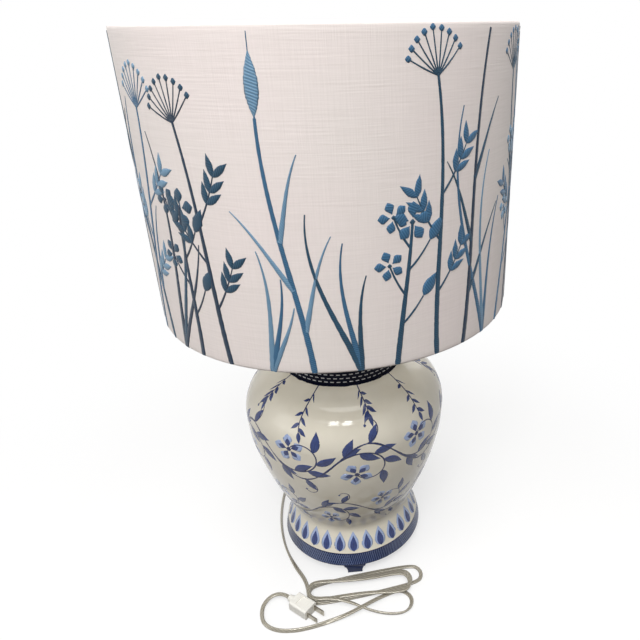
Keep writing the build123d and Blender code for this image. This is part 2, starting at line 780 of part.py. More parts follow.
# Lead inside the lamp, and the bushing at the back of the stand
nose_y = seat_y + bushing_flange_thickness
tip_y = nose_y + bushing_nose_length
with BuildPart() as cord_bushing:
    with BuildSketch(Plane((0, cavity_radius - bushing_flange_thickness, cord_exit_z), z_dir=(0, 1, 0))):
        Circle(bushing_barrel_radius)
    extrude(amount=seat_y - cavity_radius + bushing_flange_thickness)
    with BuildSketch(Plane((0, seat_y, cord_exit_z), z_dir=(0, 1, 0))):
        Circle(bushing_flange_radius)
    extrude(amount=bushing_flange_thickness)
    with BuildSketch(Plane((0, nose_y, cord_exit_z), z_dir=(0, 1, 0))):
        Circle(bushing_nose_radius)
    with BuildSketch(Plane((0, tip_y, cord_exit_z), z_dir=(0, 1, 0))):
        Circle(bushing_tip_radius)
    loft()
    with BuildSketch(Plane((0, 0, cord_exit_z), z_dir=(0, 1, 0))):
        Circle(cord_radius + glue_gap)
    extrude(amount=tip_y, mode=Mode.SUBTRACT)
keep(cord_bushing, "cord_bushing")

with BuildPart() as inner_cord:
    with BuildLine() as inner_path:
        FilletPolyline((0, 0, core_z), (0, 0, cord_exit_z), (0, tip_y, cord_exit_z), radius=cord_inner_bend)
    with BuildSketch(Plane.XY.offset(core_z)):
        Circle(cord_radius)
    sweep(path=inner_path.wire())
keep(inner_cord, "inner_cord")


# Lead outside the lamp
def corner_radii(points):
    """The largest even radius for each corner of a route, from its two runs."""
    radii = []
    for before, corner, after in zip(points, points[1:], points[2:]):
        shorter = min((corner - before).length, (after - corner).length)
        turn = (corner - before).get_angle(after - corner)
        radii.append(bend_share * shorter / tan(radians(turn) / 2))
    return radii


def report_tube(name, piece, path, radii):
    """Print a cord's radii, its length and how its volume compares with section times length."""
    ratio = piece.part.volume / (pi * cord_radius ** 2 * path.length)
    print(name, "length", round(path.length), "volume ratio", round(ratio, 4))
    print(name, "radii", [round(radius) for radius in radii])


def biarc(start, heading, end, end_heading):
    """Two tangent arcs from one station of a loop to the next."""
    gap = end - start
    both = heading + end_heading
    spread = 2 * (1 - heading.dot(end_heading))
    along = gap.dot(both)
    if spread < straight_limit:
        reach = gap.dot(gap) / (2 * along)
    else:
        reach = (sqrt(along ** 2 + spread * gap.dot(gap)) - along) / spread
    first_corner = start + heading * reach
    last_corner = end - end_heading * reach
    joint = (first_corner + last_corner) / 2
    TangentArc(start, joint, tangent=heading)
    TangentArc(joint, end, tangent=last_corner - first_corner)


def hank_axis(loop):
    """Direction of a loop, which fans out from the gather."""
    angle = radians(hank_first_angle - hank_fan_step * loop)
    return Vector(cos(angle), sin(angle), 0)


def hank_stations():
    """Points and headings round the loops: each lies on the one before and climbs along its way back."""
    stations = []
    for loop in range(hank_loops):
        axis = hank_axis(loop)
        left = Vector(-axis.Y, axis.X, 0)
        height = Vector(0, 0, cord_radius + loop * hank_layer)
        near = hank_gather + height
        far = near + axis * (hank_length + hank_length_swing * cos(2 * loop))
        far_radius = hank_far_radius + hank_far_step * loop
        stations.append((near - axis * hank_near_radius, left * -1))
        stations.append((near - left * hank_near_radius, axis))
        stations.append((far - left * far_radius, axis))
        stations.append((far + axis * far_radius, left))
        stations.append((far + left * far_radius, axis * -1))
        next_axis = hank_axis(loop + 1)
        next_left = Vector(-next_axis.Y, next_axis.X, 0)
        next_near = near + Vector(0, 0, hank_layer)
        stations.append((next_near + next_left * hank_near_radius, next_axis * -1))
    stations.append((next_near - next_axis * hank_near_radius, next_left * -1))
    stations.append((next_near - next_left * hank_near_radius, next_axis))
    return stations


stations = hank_stations()
hank_start, hank_start_heading = stations[0]
hank_end, hank_end_heading = stations[-1]
with BuildPart() as cord_hank:
    with BuildLine() as hank_path:
        for (start, heading), (end, end_heading) in zip(stations, stations[1:]):
            biarc(start, heading, end, end_heading)
    with BuildSketch(Plane(hank_start, z_dir=hank_start_heading)):
        Circle(cord_radius)
    sweep(path=hank_path.wire())
keep(cord_hank, "cord_hank")

samples = []
walked = 0.0
for edge in hank_path.wire().edges():
    count = max(2, int(edge.length / hank_sample))
    for step in range(count):
        samples.append((walked + edge.length * step / count, edge @ (step / count)))
    walked += edge.length
near_on_cord = 8 * cord_radius
least = min(
    (point - other).length
    for place, (along, point) in enumerate(samples)
    for other_along, other in samples[:place]
    if along - other_along > near_on_cord
)
hank_radii = [edge.radius for edge in hank_path.wire().edges() if edge.geom_type == GeomType.CIRCLE]
report_tube("cord_hank", cord_hank, hank_path.wire(), [min(hank_radii), max(hank_radii)])
print("cord_hank least gap to itself", round(least - 2 * cord_radius, 2))

lead_points = [
    Vector(0, tip_y, cord_exit_z),
    Vector(0, 139, cord_exit_z),
    Vector(-8, 160, 14),
    Vector(-27, 172, 6),
    Vector(-54, 167, cord_radius),
    Vector(-80, 147, cord_radius),
    Vector(-99, 116, cord_radius),
    Vector(-109, 79, cord_radius),
    Vector(-111, 39, cord_radius),
    Vector(-108, -2, cord_radius),
    Vector(-99, -42, cord_radius),
    Vector(-84, -76, cord_radius),
    hank_start - hank_start_heading * hank_run_in,
    hank_start,
]
with BuildPart() as cord_lead:
    with BuildLine() as lead_path:
        lead_radii = corner_radii(lead_points)
        FilletPolyline(*lead_points, radius=lead_radii)
    with BuildSketch(Plane(lead_points[0], z_dir=(0, 1, 0))):
        Circle(cord_radius)
    sweep(path=lead_path.wire())
keep(cord_lead, "cord_lead")
report_tube("cord_lead", cord_lead, lead_path.wire(), lead_radii)

plug_heading = Vector(19, -16, 0).normalized()
plug_approach = Vector(-95, -126, plug_height / 2)
plug_neck_end = plug_approach + plug_heading * plug_run
plug_rear = plug_neck_end + plug_heading * plug_neck_length
tail_points = [
    hank_end,
    hank_end + hank_end_heading * hank_run_out,
    Vector(-6, -150, 10.5),
    Vector(14, -160, 3.4),
    Vector(36, -168, cord_radius),
    Vector(58, -170, cord_radius),
    Vector(69, -163, cord_radius),
    Vector(73, -151, cord_radius),
    Vector(69, -140, cord_radius),
    Vector(57, -133, cord_radius),
    Vector(40, -139, 3.6),
    Vector(22, -150, 9.8),
    Vector(-3, -163, 9.8),
    Vector(-22, -173, 4.4),
    Vector(-47, -182, cord_radius),
    Vector(-73, -188, cord_radius),
    Vector(-98, -184, cord_radius),
    Vector(-114, -170, 2.4),
    Vector(-119, -150, 3),
    Vector(-119, -136, 4.4),
    Vector(-109, -126, 6.2),
    plug_approach,
    plug_neck_end,
]
with BuildPart() as cord_tail:
    with BuildLine() as tail_path:
        tail_radii = corner_radii(tail_points)
        FilletPolyline(*tail_points, radius=tail_radii)
    with BuildSketch(Plane(hank_end, z_dir=hank_end_heading)):
        Circle(cord_radius)
    sweep(path=tail_path.wire())
keep(cord_tail, "cord_tail")
report_tube("cord_tail", cord_tail, tail_path.wire(), tail_radii)

# Plug: a moulded body with a tapered neck, and two flat blades
plug_front = plug_rear + plug_heading * plug_length
plug_plane = Plane(plug_rear, x_dir=(0, 0, 1), z_dir=plug_heading)
with BuildPart() as plug_body:
    with BuildSketch(plug_plane):
        RectangleRounded(plug_height, plug_width, plug_corner)
    extrude(amount=plug_length)
    with BuildSketch(plug_plane):
        Circle(plug_height / 2 - plug_grip_depth)
    with BuildSketch(plug_plane.offset(-plug_neck_length)):
        Circle(plug_neck_radius)
    loft()
    fillet(plug_body.faces().sort_by(Axis(plug_rear, plug_heading))[-1].edges(), plug_grip_depth)
    for side in (-1, 1):
        plug_middle = plug_rear + plug_heading * plug_length / 2
        grip_plane = Plane(plug_middle, x_dir=plug_heading, z_dir=(0, 0, side))
        with BuildSketch(grip_plane.offset(plug_height / 2 - plug_grip_depth)):
            RectangleRounded(plug_grip_length, plug_width - 2 * plug_corner, plug_corner)
        extrude(amount=plug_grip_depth, mode=Mode.SUBTRACT)
    with BuildSketch(Plane(plug_front, x_dir=(0, 0, 1), z_dir=plug_heading * -1)):
        with Locations((0, -blade_spacing / 2)):
            Rectangle(blade_height + 2 * shaft_gap, blade_thickness + 2 * shaft_gap)
        with Locations((0, blade_spacing / 2)):
            Rectangle(blade_wide_height + 2 * shaft_gap, blade_thickness + 2 * shaft_gap)
    extrude(amount=blade_root, mode=Mode.SUBTRACT)
keep(plug_body, "plug_body")

with BuildPart() as plug_blades:
    with BuildSketch(Plane(plug_front - plug_heading * blade_root, x_dir=(0, 0, -1), z_dir=plug_heading)):
        with Locations((0, -blade_spacing / 2)):
            Rectangle(blade_height, blade_thickness)
        with Locations((0, blade_spacing / 2)):
            Rectangle(blade_wide_height, blade_thickness)
    extrude(amount=blade_root + blade_length)
    blade_tip = plug_front + plug_heading * blade_length
    hole_center = blade_tip - plug_heading * blade_height / 2
    across = plug_heading.cross(Vector(0, 0, 1))
    with BuildSketch(Plane(hole_center - across * plug_width, z_dir=across)):
        Circle(blade_hole_radius)
    extrude(amount=2 * plug_width, mode=Mode.SUBTRACT)
keep(plug_blades, "plug_blades")

cord_paths = (inner_path, lead_path, hank_path, tail_path)
total = sum(path.wire().length for path in cord_paths)
print("lead from socket to plug", round(total), "outside the lamp", round(total - inner_path.wire().length))
print("shade from", round(shade_bottom, 1), "to", round(shade_top, 1), "finial top", round(finial_top, 1))
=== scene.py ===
# %% [markdown]
# # A temple-jar table lamp
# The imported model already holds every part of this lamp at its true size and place, as a fixed frame.
# This lesson dresses that frame: the camera and the room, the mains lead, the linen shade with its
# embroidery, the painted jar, and then a real finish for every part that shows.
# Everything is in metres, with the foot of the lamp's axis at the origin and the front towards -Y.

# %% Load the lamp
import json
import random
from math import atan, atan2, cos, pi, radians, sin, tau

import bpy
from mathutils import Matrix, Vector

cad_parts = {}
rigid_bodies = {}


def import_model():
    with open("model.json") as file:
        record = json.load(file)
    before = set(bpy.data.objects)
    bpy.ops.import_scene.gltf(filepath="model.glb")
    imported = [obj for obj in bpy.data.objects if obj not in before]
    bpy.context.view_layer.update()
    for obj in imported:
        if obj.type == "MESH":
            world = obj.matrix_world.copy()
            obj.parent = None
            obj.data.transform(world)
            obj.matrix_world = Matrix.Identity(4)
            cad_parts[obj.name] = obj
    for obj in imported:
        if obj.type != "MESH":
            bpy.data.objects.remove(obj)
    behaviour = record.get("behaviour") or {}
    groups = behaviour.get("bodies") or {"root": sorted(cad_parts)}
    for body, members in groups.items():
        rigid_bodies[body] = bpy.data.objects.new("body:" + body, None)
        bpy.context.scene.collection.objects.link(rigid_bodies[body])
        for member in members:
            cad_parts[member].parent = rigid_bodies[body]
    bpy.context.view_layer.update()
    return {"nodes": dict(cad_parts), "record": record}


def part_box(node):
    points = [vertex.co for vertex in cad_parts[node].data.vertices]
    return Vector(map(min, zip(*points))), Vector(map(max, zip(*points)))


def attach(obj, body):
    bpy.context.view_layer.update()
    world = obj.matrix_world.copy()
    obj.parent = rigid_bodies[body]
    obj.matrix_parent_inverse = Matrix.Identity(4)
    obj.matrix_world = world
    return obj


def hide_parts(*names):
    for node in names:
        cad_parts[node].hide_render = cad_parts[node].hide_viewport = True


for leftover in list(bpy.data.objects):
    bpy.data.objects.remove(leftover, do_unlink=True)
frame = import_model()
nodes = frame["nodes"]
print("parts in the frame:", len(nodes))

# %% [markdown]
# ## Small helpers
# Colours are easiest to choose as sRGB hex values, the way a screen shows them, but shader sockets
# work in linear light, so one function converts them.
# Node trees are long lists of the same three steps (add, set, link), so one function does all three.
# A few short ones on top of it make the nodes that most of the materials share.

# %% Colour and node helpers
def linear(hex_colour):
    """Turn an sRGB hex colour into the linear RGBA that a socket takes."""
    channels = [int(hex_colour[i:i + 2], 16) / 255 for i in (1, 3, 5)]
    return [c / 12.92 if c <= 0.04045 else ((c + 0.055) / 1.055) ** 2.4 for c in channels] + [1.0]


def add_node(tree, kind, inputs=None, **settings):
    """Add a node, set its settings, set or link its inputs by name or number, and give its outputs."""
    node = tree.nodes.new(kind)
    for name, value in settings.items():
        setattr(node, name, value)
    for key, value in (inputs or {}).items():
        if isinstance(value, bpy.types.NodeSocket):
            tree.links.new(value, node.inputs[key])
        else:
            node.inputs[key].default_value = value
    return node.outputs


def new_object(name, data):
    """Put an object with some data into the scene."""
    item = bpy.data.objects.new(name, data)
    bpy.context.collection.objects.link(item)
    return item


def start_material(name, sockets):
    """Start a material and set its Principled shader's sockets."""
    material = bpy.data.materials.new(name)
    material.use_nodes = True
    shader = material.node_tree.nodes["Principled BSDF"]
    for socket, value in sockets.items():
        shader.inputs[socket].default_value = value
    return material, material.node_tree, shader


def calculate(tree, operation, *values):
    """The result of a math node on one to three numbers or sockets."""
    return add_node(tree, "ShaderNodeMath", dict(enumerate(values)), operation=operation)[0]


def ridges(tree, turns):
    """A smooth wave from 0 to 1 that repeats with every whole turn."""
    swing = calculate(tree, "SINE", calculate(tree, "MULTIPLY", turns, tau))
    return calculate(tree, "MULTIPLY_ADD", swing, 0.5, 0.5)


def mix_colours(tree, share, first, second, blend="MIX"):
    """A mix of two colours, each a hex value or a socket."""
    pair = [linear(colour) if isinstance(colour, str) else colour for colour in (first, second)]
    inputs = {0: share, 6: pair[0], 7: pair[1]}
    return add_node(tree, "ShaderNodeMix", inputs, data_type="RGBA", blend_type=blend)[2]


def noise(tree, place, size, detail, roughness=0.5):
    """Noise whose clouds have a given size."""
    inputs = {"Vector": place, "Scale": 1 / size, "Detail": detail, "Roughness": roughness}
    return add_node(tree, "ShaderNodeTexNoise", inputs)[0]


def place_on_object(tree):
    """Where a point lies on its object, in metres."""
    return add_node(tree, "ShaderNodeTexCoord")["Object"]


def dress(tree, shader, tone, relief, depth, strength):
    """Give a shader its colour, and a bump of a given depth and strength."""
    bump = add_node(tree, "ShaderNodeBump", {"Height": relief, "Distance": depth, "Strength": strength})[0]
    tree.links.new(tone, shader.inputs["Base Color"])
    tree.links.new(bump, shader.inputs["Normal"])


print("white paper in linear light:", linear("#f4f2ee"))

# %% [markdown]
# ## The camera
# The photograph was taken from close by, level with the rim of the shade and looking down. The rim
# runs level, yet the upright lines all lean to the right of the frame's middle, which is the mark of
# a picture that was cut out of a wider one: the lens looked past the lamp, at a point further right.
# So the camera needs a stand point, a turn, a tilt, a slight roll, and a sideways lens shift for the cut.

# %% Place the camera
camera_stand = Vector((0.0184, -0.7029, 0.674))
camera_turn = radians(5.74)
camera_tilt = radians(25.68)
camera_roll = radians(-0.64)
focal_pixels = 606.3
middle_offset_pixels = 90.0
frame_pixels = 640.0
sensor_width = 36.0

camera_data = bpy.data.cameras.new("camera")
camera_data.sensor_width = sensor_width
camera_data.lens = focal_pixels / frame_pixels * sensor_width
camera_data.shift_x = -middle_offset_pixels / frame_pixels
camera_data.clip_start = 0.01
camera = new_object("camera", camera_data)
camera.matrix_world = (
    Matrix.Translation(camera_stand)
    @ Matrix.Rotation(-camera_turn, 4, "Z")
    @ Matrix.Rotation(pi / 2 - camera_tilt, 4, "X")
    @ Matrix.Rotation(camera_roll, 4, "Z")
)
bpy.context.scene.camera = camera
bpy.context.scene.view_settings.view_transform = "Standard"
print("lens in mm:", round(camera_data.lens, 2))

# %% [markdown]
# ## The room
# The world and the floor are white where the camera, a mirror-like surface or glass looks at them, and
# a quieter grey where they only light the lamp, so the background stays white without flooding the
# object. The floor keeps the soft shadow near the lamp and fades to plain white further out.
# Two window panes hang high in front and draw the bright patches on the jar's shoulder; a broad lamp
# hangs overhead; another fills the left side and a last one the back.

# %% Floor, world and lamps
def seen_directly(tree):
    """1 for rays from the camera, a mirror-like surface or glass, and 0 for rays that only carry light."""
    ray = add_node(tree, "ShaderNodeLightPath")
    direct = calculate(tree, "MAXIMUM", ray["Is Camera Ray"], ray["Is Glossy Ray"])
    return calculate(tree, "MAXIMUM", direct, ray["Is Transmission Ray"])


def mix_shaders(tree, share, first, second):
    """A shader between two others."""
    return add_node(tree, "ShaderNodeMixShader", {0: share, 1: first, 2: second})[0]


floor_half = 3.0
floor_corners = [(x * floor_half, y * floor_half, 0) for x, y in ((-1, -1), (1, -1), (1, 1), (-1, 1))]
floor_mesh = bpy.data.meshes.new("floor")
floor_mesh.from_pydata(floor_corners, [], [(0, 1, 2, 3)])
floor = new_object("floor", floor_mesh)
paper = bpy.data.materials.new("white paper sweep")
paper.use_nodes = True
tree = paper.node_tree
tree.nodes.clear()
spot = place_on_object(tree)
away = add_node(tree, "ShaderNodeVectorMath", {0: spot}, operation="LENGTH")["Value"]
# Near the lamp 60 % of the floor is plain white; further out it turns fully white.
near_whiteness = 0.6
fade_start = 0.2
fade_end = 0.75
fade = {0: away, 1: fade_start, 2: fade_end, 3: near_whiteness, 4: 1.0}
whiteness = add_node(tree, "ShaderNodeMapRange", fade, interpolation_type="SMOOTHSTEP")[0]
lit_paper = add_node(tree, "ShaderNodeBsdfDiffuse", {"Color": linear("#f8f7f5")})[0]
plain_white = add_node(tree, "ShaderNodeEmission", {"Color": linear("#ffffff"), "Strength": 1.0})[0]
seen_paper = mix_shaders(tree, whiteness, lit_paper, plain_white)
# The floor that lights the lamp is a warm grey, or the underside of the jar would lose its shade.
grey_paper = add_node(tree, "ShaderNodeBsdfDiffuse", {"Color": linear("#4d473e")})[0]
floor_mix = mix_shaders(tree, seen_directly(tree), grey_paper, seen_paper)
add_node(tree, "ShaderNodeOutputMaterial", {"Surface": floor_mix})
floor_mesh.materials.append(paper)

world = bpy.data.worlds.new("studio")
bpy.context.scene.world = world
world.use_nodes = True
sky = world.node_tree
sky.nodes.clear()
fill_strength = 0.34
fill = add_node(sky, "ShaderNodeBackground", {"Color": linear("#f3f4f6"), "Strength": fill_strength})[0]
white = add_node(sky, "ShaderNodeBackground", {"Color": linear("#ffffff"), "Strength": 1.0})[0]
backdrop = mix_shaders(sky, seen_directly(sky), fill, white)
add_node(sky, "ShaderNodeOutputWorld", {"Surface": backdrop})


def hang_lamp(name, place, aim, width, height, watts):
    """Hang a rectangular lamp at a place, turned towards a point."""
    lamp_data = bpy.data.lights.new(name, "AREA")
    lamp_data.shape = "RECTANGLE"
    lamp_data.size = width
    lamp_data.size_y = height
    lamp_data.energy = watts
    lamp = new_object(name, lamp_data)
    lamp.location = place
    lamp.rotation_euler = (Vector(aim) - Vector(place)).to_track_quat("-Z", "Y").to_euler()


lamp_middle = (0, 0, 0.35)
jar_belly = (0, 0, 0.2)
hang_lamp("left_pane", (-0.45, -1.5, 2.0), lamp_middle, 0.34, 0.6, 11.5)
hang_lamp("right_pane", (0.05, -1.55, 2.0), lamp_middle, 0.34, 0.6, 11.5)
hang_lamp("ceiling_lamp", (0, -0.8, 2.4), jar_belly, 2.2, 1.6, 37)
hang_lamp("left_lamp", (-1.9, -0.8, 1.0), lamp_middle, 1.2, 1.2, 9)
hang_lamp("back_lamp", (0.7, 1.9, 1.2), lamp_middle, 1.4, 1.0, 6)
print("lamps:", [lamp.name for lamp in bpy.data.lights])

# %% [markdown]
# ## The mains lead
# The real lead is a flat twin cord of clear vinyl, about 5 mm wide. It leaves a bushing behind the
# stand, comes round the left side, lies in three loose loops gathered at the left, crosses itself
# once at the right and ends in a plug.
# A cord bends smoothly, so its route is one NURBS spline through a few control points. The flat
# section is then swept along points read back from that spline. It lies flat in the hank, and turns up
# on edge where the lead comes round the jar and in the loose loops before the plug.

# %% The route of the lead
lead_points = [
    (0, 0.1165, 0.022), (0, 0.139, 0.022), (-0.008, 0.160, 0.0135), (-0.027, 0.172, 0.005),
    (-0.054, 0.167, 0.0014), (-0.080, 0.147, 0.0014), (-0.099, 0.116, 0.0014), (-0.109, 0.079, 0.0014),
    (-0.111, 0.039, 0.0014), (-0.108, -0.002, 0.0014), (-0.099, -0.042, 0.0014), (-0.084, -0.076, 0.0014),
]
loop_count = 3
gather = Vector((-0.048, -0.129, 0.0014))
first_angle = radians(9)
fan_step = radians(3.5)
loop_length = 0.112
length_swing = 0.012
near_radius = 0.0136
far_radius = 0.0145
far_step = 0.0007
layer = 0.0031
run_in = 0.026
run_out = 0.020
ease_step = 0.0025
corner_reach = 1 / cos(radians(22.5))
near_turns = (112.5, 157.5, 202.5, 247.5)
far_turns = (-67.5, -22.5, 22.5, 67.5)


def loop_axes(loop):
    """The direction of a loop and the direction to its left."""
    angle = first_angle - fan_step * loop
    return Vector((cos(angle), sin(angle), 0)), Vector((-sin(angle), cos(angle), 0))


def on_turn(centre, loop, radius, degrees, height):
    """A control point just outside a turn of the hank."""
    axis, left = loop_axes(loop)
    angle = radians(degrees)
    place = centre + (axis * cos(angle) + left * sin(angle)) * radius * corner_reach
    return (place.x, place.y, height)


hank_points = []
for loop in range(loop_count):
    axis, left = loop_axes(loop)
    height = gather.z + layer * loop
    far = gather + axis * (loop_length + length_swing * cos(2 * loop))
    turn_radius = far_radius + far_step * loop
    leg = left * (near_radius + ease_step * (1 - loop))
    first_turns = near_turns if loop else near_turns[2:]
    hank_points += [on_turn(gather, loop, near_radius, turn, height) for turn in first_turns]
    for share in (0.33, 0.66):
        place = gather.lerp(far, share) - leg
        hank_points.append((place.x, place.y, height))
    hank_points += [on_turn(far, loop, turn_radius, turn, height) for turn in far_turns]
    for share in (0.66, 0.33):
        place = gather.lerp(far, share) + leg
        hank_points.append((place.x, place.y, height + layer * (1 - share)))

axis, left = loop_axes(0)
hank_start = gather - axis * near_radius
approach = hank_start + left * run_in
last_height = gather.z + layer * loop_count
hank_points += [on_turn(gather, loop_count, near_radius, turn, last_height) for turn in near_turns]
axis, left = loop_axes(loop_count)
leave = gather - left * near_radius + axis * run_out
tail_points = [
    (leave.x, leave.y, last_height),
    (-0.006, -0.150, 0.0068), (0.014, -0.160, 0.0026), (0.036, -0.168, 0.0014),
    (0.058, -0.170, 0.0014), (0.069, -0.163, 0.0014), (0.073, -0.151, 0.0014), (0.069, -0.140, 0.0014),
    (0.057, -0.133, 0.0014), (0.040, -0.139, 0.0026), (0.022, -0.150, 0.0066), (-0.003, -0.163, 0.0066),
    (-0.024, -0.169, 0.0032), (-0.050, -0.176, 0.0014), (-0.076, -0.180, 0.0014), (-0.101, -0.177, 0.0014),
    (-0.117, -0.165, 0.0016), (-0.121, -0.149, 0.0024), (-0.119, -0.136, 0.004), (-0.109, -0.126, 0.006),
]
plug_heading = Vector((19, -16, 0)).normalized()
plug_approach = Vector((-0.095, -0.126, 0.0075))
plug_run = 0.012
plug_end = plug_approach + plug_heading * plug_run
route = lead_points + [(approach.x, approach.y, gather.z)] + hank_points + tail_points
route += [tuple(plug_approach), tuple(plug_end)]
print("control points in the route:", len(route))

# %% Read the smooth line back from the spline
route_curve = bpy.data.curves.new("lead_route", "CURVE")
route_curve.dimensions = "3D"
route_curve.resolution_u = 12
route_spline = route_curve.splines.new("NURBS")
route_spline.points.add(len(route) - 1)
for point, place in zip(route_spline.points, route):
    point.co = (*place, 1.0)
route_spline.order_u = 3
route_spline.use_endpoint_u = True
route_object = new_object("lead_route", route_curve)


def plain_mesh(source):
    """The evaluated shape of an object as a plain mesh of its own."""
    graph = bpy.context.evaluated_depsgraph_get()
    shape = source.evaluated_get(graph)
    return bpy.data.meshes.new_from_object(shape, preserve_all_data_layers=True, depsgraph=graph)


route_mesh = plain_mesh(route_object)
lead_line = [vertex.co.copy() for vertex in route_mesh.vertices]
bpy.data.objects.remove(route_object, do_unlink=True)
lead_length = sum((b - a).length for a, b in zip(lead_line, lead_line[1:]))
print("points on the line:", len(lead_line), "length in m:", round(lead_length, 3))

# %% Sweep the flat twin section along the line
core_radius = 0.00135
core_offset = 0.0013
section = []
for middle, start in ((core_offset, -125), (-core_offset, 55)):
    turns = [radians(degrees) for degrees in range(start, start + 251, 25)]
    section += [(middle + core_radius * cos(a), core_radius * sin(a)) for a in turns]
# Stretches that turn on edge, in metres from the bushing.
edge_stretches = ((0.10, 0.38), (1.40, 1.53), (1.61, 1.755))
edge_ease = 0.05
edge_turn = radians(68)


def roll_at(distance):
    """How far the flat cord is turned on edge, at a distance along it."""
    share = max(min(distance - start, end - distance) / edge_ease for start, end in edge_stretches)
    share = min(max(share, 0.0), 1.0)
    return edge_turn * share * share * (3 - 2 * share)


ring = len(section)
cord_vertices = []
travelled = [0.0]
for i, place in enumerate(lead_line):
    before = lead_line[max(i - 1, 0)]
    after = lead_line[min(i + 1, len(lead_line) - 1)]
    heading = (after - before).normalized()
    level = heading.cross(Vector((0, 0, 1))).normalized()
    upright = level.cross(heading)
    roll = roll_at(travelled[-1])
    aside = level * cos(roll) + upright * sin(roll)
    above = aside.cross(heading)
    # A cord on edge stands higher, so that its lower core still lies on the floor.
    centre = place + upright * core_offset * sin(roll)
    cord_vertices += [centre + aside * across + above * rise for across, rise in section]
    travelled.append(travelled[-1] + (after - place).length)


def quad_strip(rows, columns, closed_rows, u_of, v_of):
    """Faces and corner UVs of a net of points whose columns close on themselves, row after row."""
    faces = []
    uvs = []
    for i in range(rows if closed_rows else rows - 1):
        for j in range(columns):
            corners = ((i, j), (i + 1, j), (i + 1, j + 1), (i, j + 1))
            faces.append([(a % rows) * columns + b % columns for a, b in corners])
            uvs += [(u_of(a, b), v_of(a, b)) for a, b in corners]
    return faces, uvs


def new_piece(name, vertices, faces, corner_uvs):
    """Make a smooth mesh piece at the origin, with a UV pair for each corner of its faces."""
    mesh = bpy.data.meshes.new(name)
    mesh.from_pydata(vertices, [], faces)
    uv_layer = mesh.uv_layers.new(name="UVMap")
    uv_layer.data.foreach_set("uv", [value for pair in corner_uvs for value in pair])
    mesh.polygons.foreach_set("use_smooth", [True] * len(mesh.polygons))
    mesh.update()
    return new_object(name, mesh)


cord_faces, cord_uvs = quad_strip(
    len(lead_line), ring, False, lambda row, column: column / ring, lambda row, column: travelled[row]
)
last_ring = (len(lead_line) - 1) * ring
for cap in (range(ring), range(last_ring + ring - 1, last_ring - 1, -1)):
    cord_faces.append(list(cap))
    cord_uvs += [(0.0, 0.0)] * ring
mains_lead = new_piece("mains_lead", cord_vertices, cord_faces, cord_uvs)
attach(mains_lead, "base")
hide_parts("cord_lead", "cord_hank", "cord_tail")

# %% [markdown]
# ## The finishes of the hidden hardware
# The metals, plastics and glass under the shade all have a fine grain from how they were made, so one
# function makes a mottle of two close colours with a shallow bump, and they only differ in its numbers.

# %% Mottled finishes
def mottle(name, light, dark, grain, depth, roughness, sockets=None, stretch=(1, 1, 1)):
    """A material with a two-tone grain of a given size, and the bump that goes with it."""
    material, tree, shader = start_material(name, {"Roughness": roughness, **(sockets or {})})
    laid = add_node(tree, "ShaderNodeMapping", {"Vector": place_on_object(tree), "Scale": stretch})[0]
    speckle = noise(tree, laid, grain, 4.0, 0.6)
    dress(tree, shader, mix_colours(tree, speckle, dark, light), speckle, depth, 0.6)
    return material


# Each finish is kept under the name of the material slot that it fills.
finish_of = {}
metal = {"Metallic": 1.0}
# Turned and lacquered brass keeps fine rings round the axis, so its grain is drawn out sideways.
finish_of["brass"] = mottle(
    "satin lacquered brass", "#c9a561", "#a9843f", 0.004, 0.00004, 0.3,
    {"Coat Weight": 0.2, **metal}, stretch=(0.2, 0.2, 3),
)
# Zinc plate dulls to a cloudy grey.
finish_of["steel"] = mottle("zinc-plated steel", "#b9bbbb", "#8d9091", 0.005, 0.00003, 0.42, metal)
# Rolled aluminium is bright with soft lines along the rolling direction.
finish_of["aluminium"] = mottle(
    "rolled aluminium", "#d5d6d6", "#b4b6b8", 0.003, 0.00003, 0.34, metal, stretch=(1, 1, 6)
)
# Pressed fibre is a matt buff paper with visible flecks.
finish_of["fibre"] = mottle("pressed vulcanised fibre", "#cdbd97", "#ab9670", 0.0015, 0.00008, 0.85)
# Moulded phenolic is a deep black-brown with a waxy shine.
finish_of["phenolic"] = mottle("moulded phenolic", "#1d1a18", "#0e0d0c", 0.002, 0.00002, 0.34)
# Stove enamel on the shade's wires is thick, off-white and slightly orange-peeled.
finish_of["shade_wire"] = mottle(
    "white stove enamel", "#e6e3da", "#d5d1c6", 0.004, 0.00006, 0.36, {"Coat Weight": 0.3}
)
# The lining is calendered styrene: matt, a little warm, and it lets some light through.
finish_of["shade_lining"] = mottle(
    "matt styrene lining", "#f3f0e8", "#e8e4da", 0.012, 0.00005, 0.6,
    {"Subsurface Weight": 0.15, "Subsurface Radius": (0.002, 0.002, 0.002)},
)
# Pressed felt is all short fibres, so it has a strong bump and a soft sheen.
finish_of["felt"] = mottle(
    "pressed wool felt", "#45443f", "#282723", 0.0012, 0.0003, 0.95, {"Sheen Weight": 0.4}
)
# The bushing is soft moulded rubber of a warm grey.
finish_of["rubber"] = mottle("moulded grey rubber", "#9a988f", "#84827a", 0.003, 0.00005, 0.55)
# Nickel plate on the blades is warm and a little cloudy.
finish_of["blade_metal"] = mottle(
    "nickel-plated brass", "#c8c2b4", "#8f897c", 0.003, 0.00003, 0.28, metal
)
# The bulb is soda-lime glass, frosted inside with fine acid etching.
finish_of["bulb_glass"] = mottle(
    "frosted soda-lime glass", "#fbfaf7", "#f3f1ec", 0.0008, 0.00004, 0.36,
    {"IOR": 1.51, "Transmission Weight": 0.25},
)
print("finishes so far:", len(finish_of))

# %% [markdown]
# ## The lead's clear vinyl
# Through the clear vinyl of the lead show two bundles of tinned strands, twisted along their length.
# The piece's UV map runs along the cord in metres, so a slanted wave on it draws the twist.

# %% Clear vinyl over silver strands
finish_of["cord_vinyl"], tree, shader = start_material(
    "clear vinyl over tinned strands",
    {"Roughness": 0.22, "Metallic": 0.25, "Coat Weight": 0.6, "Coat Roughness": 0.12},
)
